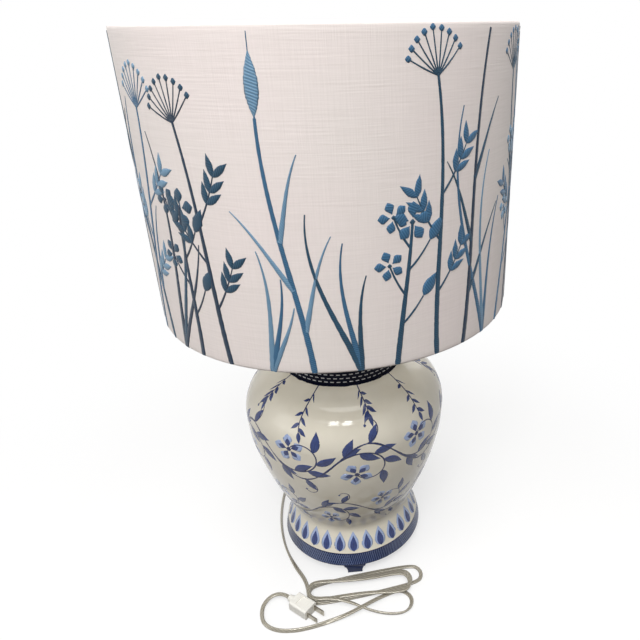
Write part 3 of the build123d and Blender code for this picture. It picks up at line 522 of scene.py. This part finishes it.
# The real lay of the strands is 12 mm; half of that shows better at this distance.
strand_lay = 0.006
strands_round = 4.0
on_cord = add_node(tree, "ShaderNodeUVMap", uv_map="UVMap")[0]
spot = add_node(tree, "ShaderNodeSeparateXYZ", {0: on_cord})
laid_along = calculate(tree, "DIVIDE", spot["Y"], strand_lay)
strand_share = ridges(tree, calculate(tree, "MULTIPLY_ADD", spot["X"], strands_round, laid_along))
strand_tone = mix_colours(tree, strand_share, "#8b8576", "#a29c8d")
dress(tree, shader, strand_tone, strand_share, 0.00002, 0.4)
mains_lead.data.materials.append(finish_of["cord_vinyl"])
print("strand lay in mm:", strand_lay * 1000)

# %% [markdown]
# ## The linen of the shade
# The cover is off-white linen on a stiff lining, turned in round a wire at both rims.
# The frame's own cover has the right shape, but cloth wants a map of its threads, so a new one is
# spun from the same profile with a UV map in metres: round the drum one way and up the wall the other.

# %% Spin the linen cover
drum_low, drum_high = (Vector(corner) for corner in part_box("shade_cover"))
drum_radius = drum_high.x
hem_roll = 0.0032
cloth = 0.0007
tuck = 0.009
spin_steps = 288
roll_steps = 10


def hem_arc(centre_z, start, end, radius):
    """Points of a rolled hem, as (radius from the axis, height)."""
    turns = [start + (end - start) * i / roll_steps for i in range(roll_steps + 1)]
    centre = drum_radius - hem_roll
    return [(centre + radius * cos(a), centre_z + radius * sin(a)) for a in turns]


top_roll = drum_high.z - hem_roll
low_roll = drum_low.z + hem_roll
wall_steps = 60
wall_heights = [low_roll + (top_roll - low_roll) * i / wall_steps for i in range(wall_steps + 1)]
profile = [(drum_radius, z) for z in wall_heights]
profile += hem_arc(top_roll, 0, pi, hem_roll)[1:]
inner_radius = drum_radius - 2 * hem_roll
profile += [(inner_radius, top_roll - tuck), (inner_radius + cloth, top_roll - tuck)]
profile += hem_arc(top_roll, pi, 0, hem_roll - cloth)
profile += hem_arc(low_roll, 0, -pi, hem_roll - cloth)
profile += [(inner_radius + cloth, low_roll + tuck), (inner_radius, low_roll + tuck)]
profile += hem_arc(low_roll, -pi, 0, hem_roll)[:-1]

count = len(profile)
cover_vertices = []
for step in range(spin_steps):
    angle = -tau * step / spin_steps
    cover_vertices += [(r * sin(angle), r * cos(angle), z) for r, z in profile]
cover_faces, cover_uvs = quad_strip(
    spin_steps, count, True,
    lambda row, column: tau * drum_radius * row / spin_steps,
    lambda row, column: profile[column % count][1],
)
shade_linen = new_piece("shade_linen", cover_vertices, cover_faces, cover_uvs)
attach(shade_linen, "shade")
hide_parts("shade_cover")

# %% Woven linen
def thread_noise(tree, cloth_map, along, up):
    """Noise drawn out into threads, by its size along the cloth and up it."""
    laid = add_node(tree, "ShaderNodeMapping", {"Vector": cloth_map, "Scale": (1 / along, 1 / up, 1)})[0]
    return noise(tree, laid, 1.0, 3.0)


finish_of["linen"], tree, shader = start_material(
    "woven linen", {"Roughness": 0.9, "Sheen Weight": 0.15, "Sheen Roughness": 0.6}
)
cloth_map = add_node(tree, "ShaderNodeUVMap", uv_map="UVMap")[0]
# Linen threads are 0.5 mm apart; at this distance they are drawn three times as coarse, with long slubs.
thread_pitch = 0.0016
slub_length = 0.045
warp_share = 0.36
weft = thread_noise(tree, cloth_map, slub_length, thread_pitch)
warp = thread_noise(tree, cloth_map, thread_pitch, slub_length)
weave = add_node(tree, "ShaderNodeMix", {0: warp_share, 2: weft, 3: warp})[0]
thread_tone = mix_colours(tree, weave, "#e0d9d6", "#f9f3f2")
# Bleached cloth is never one white: broad patches lean to pink and to grey-green.
patch_size = 0.16
patch_tone = mix_colours(tree, noise(tree, cloth_map, patch_size, 2.0), "#f7f7f2", "#fef6f5")
cloth_tone = mix_colours(tree, 1.0, thread_tone, patch_tone, blend="MULTIPLY")
dress(tree, shader, cloth_tone, weave, 0.0004, 0.7)
shade_linen.data.materials.append(finish_of["linen"])
print("thread pitch as drawn, in mm:", thread_pitch * 1000)

# %% [markdown]
# ## A tree that wraps a drawing round a shape
# Both the stitching on the shade and the painting on the jar are line drawings on a round wall.
# They are drawn flat, as curves with X along the wall and Y up it, and each point's radius is half the
# width of the stroke there. One Geometry Nodes tree thickens the strokes and then shoots each point at
# the real wall, so the drawing lies on the surface whatever its shape. Two attributes, along and
# across, stay with the strokes so that a material can lay threads over them.

# %% Build the wrapping tree
def build_wrap_tree():
    """Strokes drawn flat become low raised strokes on a target's wall."""
    tree = bpy.data.node_groups.new("wrap_drawing", "GeometryNodeTree")
    taken = {
        "Drawing": "Geometry", "Wall": "Object", "Drawing radius": "Float", "Relief": "Float",
        "Finish": "Material",
    }
    for name, kind in taken.items():
        tree.interface.new_socket(name, in_out="INPUT", socket_type="NodeSocket" + kind)
    tree.interface.new_socket("Strokes", in_out="OUTPUT", socket_type="NodeSocketGeometry")
    given = add_node(tree, "NodeGroupInput")

    def store(geometry, name, value):
        """Keep a number with every point of a geometry."""
        inputs = {"Geometry": geometry, "Name": name, "Value": value}
        kind = "GeometryNodeStoreNamedAttribute"
        return add_node(tree, kind, inputs, data_type="FLOAT", domain="POINT")[0]

    def arrow(operation, inputs):
        """The result of a vector math node."""
        return add_node(tree, "ShaderNodeVectorMath", inputs, operation=operation)[0]

    # Sweep a round nib along each stroke, as wide as the stroke's radius.
    drawn_length = add_node(tree, "GeometryNodeSplineParameter")["Length"]
    drawing = store(given["Drawing"], "along", drawn_length)
    place = add_node(tree, "GeometryNodeInputPosition")[0]
    flat = add_node(tree, "ShaderNodeSeparateXYZ", {0: place})
    nib = add_node(tree, "GeometryNodeCurvePrimitiveCircle", {"Resolution": 8, "Radius": 1.0})[0]
    nib = store(nib, "across", flat["X"])
    half_width = add_node(tree, "GeometryNodeInputRadius")[0]
    sweep = {"Curve": drawing, "Profile Curve": nib, "Scale": half_width, "Fill Caps": True}
    strokes = add_node(tree, "GeometryNodeCurveToMesh", sweep)[0]

    # From half a metre outside the axis, shoot each point back at the wall.
    reach = 0.5
    angle = calculate(tree, "DIVIDE", flat["X"], given["Drawing radius"])
    to_right = calculate(tree, "SINE", angle)
    to_front = calculate(tree, "MULTIPLY", calculate(tree, "COSINE", angle), -1.0)
    outward = add_node(tree, "ShaderNodeCombineXYZ", {0: to_right, 1: to_front, 2: 0.0})[0]
    inward = arrow("SCALE", {0: outward, "Scale": -1.0})
    level = add_node(tree, "ShaderNodeCombineXYZ", {0: 0.0, 1: 0.0, 2: flat["Y"]})[0]
    outside = arrow("MULTIPLY_ADD", {0: outward, 1: (reach, reach, reach), 2: level})
    wall = add_node(tree, "GeometryNodeObjectInfo", {"Object": given["Wall"]})["Geometry"]
    shot = {
        "Target Geometry": wall, "Source Position": outside, "Ray Direction": inward, "Ray Length": reach,
    }
    hit = add_node(tree, "GeometryNodeRaycast", shot)

    # The upper half of the nib becomes a low crown, and the lower half sinks a little into the wall.
    sink_share = 0.05
    above = calculate(tree, "MAXIMUM", flat["Z"], 0.0)
    below = calculate(tree, "MINIMUM", flat["Z"], 0.0)
    swell = calculate(tree, "MULTIPLY", above, given["Relief"])
    crown = calculate(tree, "DIVIDE", swell, calculate(tree, "ADD", above, given["Relief"]))
    height = calculate(tree, "MULTIPLY_ADD", below, sink_share, crown)
    lift = arrow("SCALE", {0: hit["Hit Normal"], "Scale": height})
    landed = arrow("ADD", {0: hit["Hit Position"], 1: lift})
    laid = add_node(tree, "GeometryNodeSetPosition", {"Geometry": strokes, "Position": landed})[0]
    smooth = add_node(tree, "GeometryNodeSetShadeSmooth", {"Geometry": laid})[0]
    real = add_node(tree, "GeometryNodeRealizeInstances", {"Geometry": smooth})[0]
    coat = {"Geometry": real, "Material": given["Finish"]}
    finished = add_node(tree, "GeometryNodeSetMaterial", coat)[0]
    add_node(tree, "NodeGroupOutput", {0: finished})
    return tree


wrap_tree = build_wrap_tree()


def wrap_strokes(name, strokes, wall, drawing_radius, relief, finish, body):
    """Wrap flat strokes, each a list of (x, y, half width), round a wall as one finished piece."""
    curve = bpy.data.curves.new(name, "CURVE")
    curve.dimensions = "3D"
    for stroke in strokes:
        spline = curve.splines.new("POLY")
        spline.points.add(len(stroke) - 1)
        for point, (x, y, half_width) in zip(spline.points, stroke):
            point.co = (x, y, 0, 1)
            point.radius = half_width
    flat = new_object(name + "_flat", curve)
    wrap = flat.modifiers.new("wrap", "NODES")
    wrap.node_group = wrap_tree
    settings = {"Wall": wall, "Drawing radius": drawing_radius, "Relief": relief, "Finish": finish}
    for socket in wrap_tree.interface.items_tree:
        if socket.name in settings:
            wrap[socket.identifier] = settings[socket.name]
    mesh = plain_mesh(flat)
    mesh.name = name
    bpy.data.objects.remove(flat, do_unlink=True)
    piece = new_object(name, mesh)
    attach(piece, body)
    print(name, "strokes:", len(strokes), "faces:", len(mesh.polygons))
    return piece


print("nodes in the wrapping tree:", len(wrap_tree.nodes))

# %% [markdown]
# ## Strokes to draw with
# A plant drawn by hand is made of strokes that taper and bend more and more towards their tip.
# One function grows such a stroke; a second draws a leaf or petal, which swells and closes again.

# %% Growing strokes and petals
finest_half_width = 0.00015
petal_count = 5


def grow(start, heading, length, bend, bend_end, half_width, half_width_end, step=0.003):
    """A tapering stroke from a point at a heading; its bend, in radians per metre, changes evenly."""
    x, y = start
    count = max(4, round(length / step))
    pace = length / count
    stroke = []
    for i in range(count + 1):
        share = i / count
        stroke.append((x, y, half_width + (half_width_end - half_width) * share))
        x += cos(heading) * pace
        y += sin(heading) * pace
        heading += (bend + (bend_end - bend) * share) * pace
    return stroke


def petal(start, heading, length, half_width, bend=0.0, fullness=0.8, step=0.0015):
    """A leaf or petal: narrow where it starts, widest near its middle, closed at its tip."""
    stroke = grow(start, heading, length, bend, bend, 0, 0, step)
    last = len(stroke) - 1
    return [
        (x, y, max(finest_half_width, half_width * sin(pi * (i / last) ** fullness)))
        for i, (x, y, _) in enumerate(stroke)
    ]


def end_of(stroke, share=1.0):
    """A point along a stroke and the heading there."""
    i = max(1, round((len(stroke) - 1) * share))
    (x0, y0, _), (x1, y1, _) = stroke[i - 1], stroke[i]
    return (x1, y1), atan2(y1 - y0, x1 - x0)


def away_from(centre, heading, distance):
    """The point at a distance and heading from a centre."""
    return (centre[0] + distance * cos(heading), centre[1] + distance * sin(heading))


def blossom(centre, turn, reach, half_width):
    """Petals set round a centre, with room for its eye."""
    strokes = []
    for i in range(petal_count):
        heading = turn + tau * i / petal_count
        start = away_from(centre, heading, 0.22 * reach)
        strokes.append(petal(start, heading, reach * 0.78, half_width, fullness=1.25))
    return strokes


def dot(centre, radius):
    """A round dot."""
    start = (centre[0] - radius, centre[1])
    return petal(start, 0.0, 2 * radius, radius, fullness=1.0, step=radius / 3)


print("points in a 60 mm stem:", len(grow((0, 0), 1.5, 0.06, 0, 4, 0.002, 0.001)))

# %% [markdown]
# ## The embroidery on the shade
# The cover is worked in satin stitch with a meadow of tall stems: reeds with their heads, umbels,
# long blades and stems of small blossoms, in four blue threads.
# Each plant is one line of a short list, a place round the drum with its lean, sway, height, kind and
# thread; functions grow the rest. The same list is used again, turned about, for the back.

# %% Grow the meadow
meadow_floor = drum_low.z + 0.002
meadow_ceiling = drum_high.z - 0.004
threads_used = {"navy": [], "teal": [], "blue": [], "steel": []}
pick = random.Random(11)

# place round the drum in m, lean from upright in degrees, sway in rad/m, height in m, kind, thread
plants = [
    (-0.298, 5, -1.6, 0.300, "reed", "navy"),
    (-0.266, -4, 2.2, 0.270, "blade", "teal"),
    (-0.236, 9, -2.4, 0.238, "umbel", "blue"),
    (-0.204, -7, 1.2, 0.300, "reed", "teal"),
    (-0.176, 12, -2.0, 0.215, "blade", "navy"),
    (-0.146, 3, 2.6, 0.150, "blossom", "navy"),
    (-0.108, -8, -1.4, 0.225, "umbel", "navy"),
    (-0.062, 10, -3.0, 0.120, "blade", "steel"),
    (-0.022, -5, 2.0, 0.232, "reed", "blue"),
    (0.022, -10, 3.2, 0.160, "blade", "teal"),
    (0.058, 6, -1.2, 0.140, "blossom", "teal"),
    (0.102, -3, -2.0, 0.258, "umbel", "teal"),
    (0.138, 8, 1.7, 0.300, "reed", "navy"),
    (0.172, -6, 2.4, 0.240, "blade", "blue"),
    (0.206, 11, -1.8, 0.195, "blossom", "blue"),
    (0.240, 4, -1.0, 0.290, "reed", "navy"),
    (0.270, -7, 2.0, 0.260, "umbel", "teal"),
    (0.300, -9, 1.4, 0.300, "reed", "steel"),
]


def stitch(thread, *strokes):
    """Keep what lies between the hems for a thread, with the slight unevenness of stitched edges."""
    for stroke in strokes:
        kept = [point for point in stroke if meadow_floor <= point[1] <= meadow_ceiling]
        if len(kept) > 3:
            threads_used[thread].append([(x, y, w * pick.uniform(0.92, 1.06)) for x, y, w in kept])


# Half widths of strokes where they start and where they end, in m.
blade_widths = (0.0034, 0.0006)
stem_widths = (0.0032, 0.0014)
whisker_widths = (0.0008, 0.0004)
reed_leaf_widths = (0.0028, 0.0005)
ray_widths = (0.0008, 0.0006)
frond_widths = (0.0013, 0.0006)
stalk_widths = (0.0013, 0.0008)
whisker_length = 0.068
frond_length = 0.05
stalk_length = 0.034
# Lengths and half widths of leaves and petals, and radii of dots, in m.
reed_head = (0.050, 0.0062)
frond_leaf = (0.020, 0.0036)
stalk_leaf = (0.025, 0.0062)
top_blossom = (0.0185, 0.0056)
side_blossom = (0.0145, 0.0044)
ray_dot = 0.0029
top_dot = 0.0028
side_dot = 0.0022


def grow_plant(place, lean, sway, height, kind, thread):
    """Stitch one plant of the meadow."""
    other = {"navy": "teal", "teal": "blue", "blue": "steel", "steel": "blue"}[thread]
    foot = (place, meadow_floor)
    upright = radians(90 - lean)
    if kind == "blade":
        for i, spread in enumerate((-9, 2, 13)):
            side = radians(spread)
            reach = height * (1 - 0.2 * i)
            blade = grow(foot, upright - side, reach, sway, -3 * sway, *blade_widths)
            stitch(other if i == 1 else thread, blade)
        return
    stem = grow(foot, upright, height, sway, -1.5 * sway, *stem_widths)
    stitch(thread, stem)
    tip, heading = end_of(stem)
    if kind == "reed":
        stitch(other, petal(tip, heading, *reed_head, fullness=0.9))
        stitch(thread, grow(tip, heading, whisker_length, 0, 0, *whisker_widths))
        for share, side in ((0.18, 1), (0.36, -1), (0.56, 1)):
            knot, along = end_of(stem, share)
            reach = 0.105 - 0.05 * share
            leaf = grow(knot, along - side * 0.42, reach, side * 3.0, -side * 9.0, *reed_leaf_widths)
            stitch(other, leaf)
    if kind == "umbel":
        for i in range(9):
            side = (i - 4) * 0.27
            reach = 0.036 - 0.0012 * abs(i - 4)
            ray = grow(tip, heading + side, reach, -side * 8, -side * 2, *ray_widths)
            stitch(thread, ray)
            stitch(other, dot(end_of(ray)[0], ray_dot))
        for share, side in ((0.25, -1), (0.45, 1), (0.62, -1)):
            knot, along = end_of(stem, share)
            frond = grow(knot, along + side * 0.7, frond_length, -side * 6, -side * 4, *frond_widths)
            stitch(thread, frond)
            for part in (0.45, 0.7, 1.0):
                bud, way = end_of(frond, part)
                for opening in (-0.55, 0.55):
                    stitch(other, petal(bud, way + opening, *frond_leaf))
    if kind == "blossom":
        stitch(other, *blossom(tip, heading, *top_blossom))
        stitch(thread, dot(tip, top_dot))
        for share, side in ((0.3, -1), (0.5, 1), (0.68, -1), (0.84, 1)):
            knot, along = end_of(stem, share)
            stalk = grow(knot, along + side * 0.75, stalk_length, -side * 12, -side * 4, *stalk_widths)
            stitch(thread, stalk)
            bud, way = end_of(stalk)
            if side > 0:
                stitch(other, *blossom(bud, way, *side_blossom))
                stitch(thread, dot(bud, side_dot))
            else:
                stitch(other, petal(bud, way, *stalk_leaf))


half_way = pi * drum_radius
for place, lean, sway, *rest in plants:
    grow_plant(place, lean, sway, *rest)
    grow_plant(half_way - place, lean, -sway, *rest)
print("strokes of each thread:", {thread: len(strokes) for thread, strokes in threads_used.items()})

# %% Satin-stitch thread
def rayon(name, dark, mid, light):
    """Shiny embroidery thread laid in slanting satin stitch, with a painted highlight on the crown of each
    stitch.
    """
    material, tree, shader = start_material(
        name,
        {"Roughness": 0.45, "Sheen Weight": 0.12, "Sheen Roughness": 0.35, "Specular IOR Level": 0.35},
    )
    along = add_node(tree, "ShaderNodeAttribute", attribute_name="along")["Fac"]
    across = add_node(tree, "ShaderNodeAttribute", attribute_name="across")["Fac"]
    # Stitches lie 0.4 mm apart; they are drawn six times as coarse, or they would not show.
    stitch_pitch = 0.0024
    stitch_slant = 0.8
    counted = calculate(tree, "DIVIDE", along, stitch_pitch)
    ridge = ridges(tree, calculate(tree, "MULTIPLY_ADD", across, stitch_slant, counted))
    # The thread was dyed in lengths, so its blue drifts every few centimetres.
    drift = noise(tree, place_on_object(tree), 0.022, 3.0)
    ground = mix_colours(tree, drift, dark, mid)
    # The stitch stripes are the thread's real lay, and they also drive the bump; the third colour, light,
    # is a painted highlight put on the crown of each stitch, where its shine would catch the lamps.
    crown_highlight = calculate(tree, "MULTIPLY", ridge, 0.45)
    dress(tree, shader, mix_colours(tree, crown_highlight, ground, light), ridge, 0.0003, 0.7)
    return material


thread_finishes = {
    "navy": rayon("navy rayon thread", "#070f1c", "#122a42", "#24435f"),
    "teal": rayon("teal rayon thread", "#0b2233", "#174059", "#2f5f7b"),
    "blue": rayon("blue rayon thread", "#183c58", "#2f6085", "#5685a8"),
    "steel": rayon("steel-blue rayon thread", "#446c8a", "#668ca9", "#94b3c9"),
}
thread_relief = 0.0008
stitched = [
    wrap_strokes(
        "embroidery_" + thread, strokes, shade_linen, drum_radius, thread_relief,
        thread_finishes[thread], "shade",
    )
    for thread, strokes in threads_used.items()
]

# %% [markdown]
# ## The painting on the jar
# The jar is stoneware painted in cobalt before a clear glaze, with scrolling vines in bands, an old
# and common pattern. A wave runs round the jar; from each crossing a branch curls into the hollow under
# the next crest and ends in a blossom, with small leaves and tendrils to fill the gaps.
# A ring of hanging sprays closes the pattern on the shoulder and a row of pointed lappets on the skirt.
# Dark lines, a middle wash and a pale wash are three pieces, so each has its own brush and cobalt.

# %% Draw the scrolling vines
drawing_radius = 0.115
jar_round = tau * drawing_radius
dark_lines = []
middle_wash = []
pale_wash = []
# Half widths of the fine brush lines where they start and end, and the step along them, in m.
vein_widths = (0.00045, 0.0002)
rib_widths = (0.0005, 0.0002)
fine_step = 0.0015
# Sizes in a band of full size, in m, and bends in rad/m.
vine_half_width = 0.0011
vine_swell = 0.0003
branch_length = 0.116
branch_bends = (19, 72)
blossom_reach = 0.0185
vine_leaf_length = 0.026
crest_leaf_length = 0.022
tendril_length = 0.044
tendril_widths = (0.0008, 0.0004)
tendril_dot = 0.0017


def paint_blossom(centre, turn, reach):
    """A five-petal blossom: pale petals, a middle wash at their roots, dark veins and eye."""
    pale_wash.extend(blossom(centre, turn, reach, reach * 0.32))
    middle_wash.extend(blossom(centre, turn, reach * 0.72, reach * 0.2))
    for i in range(petal_count):
        heading = turn + tau * i / petal_count
        start = away_from(centre, heading, 0.3 * reach)
        dark_lines.append(grow(start, heading, reach * 0.5, 0, 0, *vein_widths, fine_step))
    dark_lines.append(dot(centre, reach * 0.17))


def paint_leaf(start, heading, length, bend, plumpness=0.2):
    """A comma leaf in middle wash with a dark rib."""
    middle_wash.append(petal(start, heading, length, length * plumpness, bend))
    dark_lines.append(grow(start, heading, length * 0.8, bend, bend, *rib_widths, fine_step))


def scroll_band(height, swing, repeats, shift, size):
    """Paint one band of vine round the jar."""
    wave = tau * repeats / jar_round
    steps = repeats * 48
    vine = []
    for i in range(steps + 1):
        x = jar_round * i / steps - jar_round / 2
        thick = vine_half_width + vine_swell * sin(5.3 * wave * x)
        vine.append((x, height + swing * sin(wave * x + shift), thick * size))
    dark_lines.append(vine)
    for half in range(2 * repeats):
        x = (pi * half - shift) / wave - jar_round / 2
        rising = cos(wave * x + shift) > 0
        side = -1 if rising else 1
        heading = atan(swing * wave) * -side
        tight = side / size
        bends = [bend * tight for bend in branch_bends]
        branch = grow((x, height), heading, branch_length * size, *bends, 0.0012 * size, 0.0006, 0.002)
        dark_lines.append(branch)
        paint_blossom(*end_of(branch), blossom_reach * size)
        for share, way in ((0.14, -1), (0.28, 1), (0.42, -1), (0.56, -1), (0.7, -1)):
            knot, along = end_of(branch, share)
            paint_leaf(knot, along + way * side * 0.8, vine_leaf_length * size, -way * side * 14)
        crest = (x + pi / wave / 2, height - side * swing)
        curl = -side * 190 / size
        tendril = grow(
            crest, 0.5 * -side, tendril_length * size, -side * 10, curl, *tendril_widths, fine_step
        )
        dark_lines.append(tendril)
        middle_wash.append(dot(end_of(tendril)[0], tendril_dot * size))
        for reach in (-0.026, 0.003):
            spot = crest[0] + reach * size
            base = height + swing * sin(wave * spot + shift)
            paint_leaf((spot, base), -side * (1.2 + reach * 20), crest_leaf_length * size, side * 17)


scroll_band(height=0.212, swing=0.027, repeats=5, shift=0.6, size=1.0)
scroll_band(height=0.121, swing=0.020, repeats=5, shift=2.1, size=0.86)
print("dark strokes:", len(dark_lines), "middle:", len(middle_wash), "pale:", len(pale_wash))

# %% Sprays on the shoulder and lappets on the skirt
spray_count = 10
spray_top = 0.2868
short_spray = 0.019
long_spray = 0.036
spray_widths = (0.0010, 0.0005)
end_leaf_length = 0.013
for i in range(spray_count):
    x = jar_round * ((i + 0.35) / spray_count - 0.5)
    side = 1 if i % 2 else -1
    # Over the crests of the vine there is only room for a short spray.
    reach = short_spray if i % 2 else long_spray
    heading = radians(-90 + 20 * side)
    spray = grow((x, spray_top), heading, reach, -6 * side, -24 * side, *spray_widths, 0.001)
    dark_lines.append(spray)
    # The shoulder stretches whatever is drawn near the collar, so the upper leaves are short and slim.
    for share in (0.14, 0.26, 0.38, 0.5, 0.62, 0.75, 0.88):
        side = -side
        knot, along = end_of(spray, share)
        heading = along + side * (1.25 - 0.5 * share)
        paint_leaf(knot, heading, 0.0075 + 0.0055 * share, 0, 0.09 + 0.12 * share)
    paint_leaf(*end_of(spray), end_leaf_length, 0)
lappet_count = 30
skirt_low = 0.0365
lappet_fullness = 0.62
pale_lappet = (0.0265, 0.0100)
middle_lappet = (0.0205, 0.0068)
lappet_rib_length = 0.0155
lappet_rib_widths = (0.0007, 0.0003)
upright = pi / 2
for i in range(lappet_count):
    foot = (jar_round * i / lappet_count, skirt_low)
    pale_wash.append(petal(foot, upright, *pale_lappet, fullness=lappet_fullness))
    middle_wash.append(petal(foot, upright, *middle_lappet, fullness=lappet_fullness))
    dark_lines.append(grow(foot, upright, lappet_rib_length, 0, 0, *lappet_rib_widths, fine_step))
print("sprays:", spray_count, "lappets:", lappet_count)

# %% Cobalt under the glaze
def cobalt(name, deep, thin):
    """Painted cobalt: it pools deep blue and thins out where the brush was dry."""
    material, tree, shader = start_material(name, {"Roughness": 0.1, "Specular IOR Level": 0.4})
    pool = noise(tree, place_on_object(tree), 0.006, 4.0, 0.65)
    tree.links.new(mix_colours(tree, pool, deep, thin), shader.inputs["Base Color"])
    return material


jar_wall = nodes["jar_body"]
brushes = [
    ("painting_pale", pale_wash, 0.00006, cobalt("cobalt pale wash", "#7f96c8", "#b9c6e2")),
    ("painting_middle", middle_wash, 0.00010, cobalt("cobalt middle wash", "#152150", "#3b5090")),
    ("painting_dark", dark_lines, 0.00015, cobalt("cobalt brush line", "#0f1738", "#27356e")),
]
for name, strokes, relief, finish in brushes:
    wrap_strokes(name, strokes, jar_wall, drawing_radius, relief, finish, "base")

# %% [markdown]
# ## Collar and plinth
# The neck of the jar is dipped in navy and ringed with four rows of short pale dashes, each row half a
# step on from the last. The plinth carries a fine pale hatch, slanting strokes on one half of each
# panel and crossed ones on the other. Both are plain repeats, drawn with the same wrapping tree.

# %% Dashes and hatching
neck_radius = 0.073
dash_rows = (0.2915, 0.2965, 0.3015, 0.3065)
dash_count = 60
dash_half_width = 0.00062
dash_step = tau * neck_radius / dash_count
dashes = []
for row, z in enumerate(dash_rows):
    for i in range(dash_count):
        x = (i + 0.5 * (row % 2)) * dash_step
        dashes.append([(x + dash_step * share, z, dash_half_width) for share in (0.0, 0.2, 0.4, 0.58)])
plinth_low = 0.0168
plinth_high = 0.0325
hatch_radius = 0.0965
hatch_count = 208
hatch_run = 26
hatch_slant = 0.006
hatch_step = tau * hatch_radius / hatch_count


def hatch(x, slant, half_width):
    """One slanting stroke up the wall of the plinth."""
    rise = plinth_high - plinth_low
    shares = (0.0, 0.25, 0.5, 0.75, 1.0)
    return [(x + slant * share, plinth_low + rise * share, half_width) for share in shares]


hatching = []
for i in range(hatch_count):
    hatching.append(hatch(i * hatch_step, hatch_slant, 0.00038))
    if (i // hatch_run) % 2:
        hatching.append(hatch(i * hatch_step, -hatch_slant, 0.0003))
slip_relief = 0.0001
pale_slip = cobalt("pale slip under glaze", "#c9cdd6", "#eceae2")
hatch_slip = cobalt("grey-blue slip under glaze", "#4c5d88", "#7484ab")
wrap_strokes("collar_dashes", dashes, jar_wall, neck_radius, slip_relief, pale_slip, "base")
wrap_strokes(
    "plinth_hatch", hatching, nodes["base_stand"], hatch_radius, slip_relief, hatch_slip,
    "base",
)

# %% Glazes of the jar and the stand
def glaze(name, sockets, first, second):
    """A glaze in two close tones, with the slow ripple that a fired surface keeps."""
    material, tree, shader = start_material(name, sockets)
    place = place_on_object(tree)
    ripple = noise(tree, place, 0.028, 2.0)
    tone = mix_colours(tree, ripple, first, second)
    dress(tree, shader, tone, ripple, 0.0006, 0.5)
    return material, tree, shader, place, tone


glaze_shine = 0.35
finish_of["jar_glaze"], tree, shader, place, cream = glaze(
    "clear glaze on cream stoneware", {"Roughness": 0.08, "Specular IOR Level": glaze_shine},
    "#d8d1c0", "#e8e2d3",
)
# The collar was dipped by hand, so its lower edge wavers by half a millimetre.
collar_edge = 0.2872
waver_height = 0.001
waver = noise(tree, place, 0.01, 2.0)
height = add_node(tree, "ShaderNodeSeparateXYZ", {0: place})["Z"]
wavered = calculate(tree, "MULTIPLY_ADD", waver, waver_height, height)
dipped = calculate(tree, "GREATER_THAN", wavered, collar_edge)
tree.links.new(mix_colours(tree, dipped, cream, "#0a0f24"), shader.inputs["Base Color"])
# The dip fired to a duller surface than the clear glaze.
dip_shine = 0.05
shine = add_node(tree, "ShaderNodeMix", {0: dipped, 2: glaze_shine, 3: dip_shine})[0]
tree.links.new(shine, shader.inputs["Specular IOR Level"])

stand_sockets = {"Roughness": 0.12, "Specular IOR Level": 0.4}
finish_of["stand_glaze"] = glaze("navy glaze", stand_sockets, "#141b38", "#28365f")[0]
print("finishes so far:", len(finish_of))

# %% [markdown]
# ## The plug
# The plug is one moulding of soft white vinyl round two nickel-plated blades. It keeps its frame
# shape; its vinyl has the faint pitting of the mould.

# %% Give every part of the frame its finish
finish_of["plug_vinyl"] = mottle("moulded white vinyl", "#efede6", "#dcd9d0", 0.003, 0.00012, 0.42)
for part in frame["record"]["subparts"]:
    mesh = nodes[part["node"]].data
    mesh.materials.clear()
    mesh.materials.append(finish_of[part["material_slot"]])
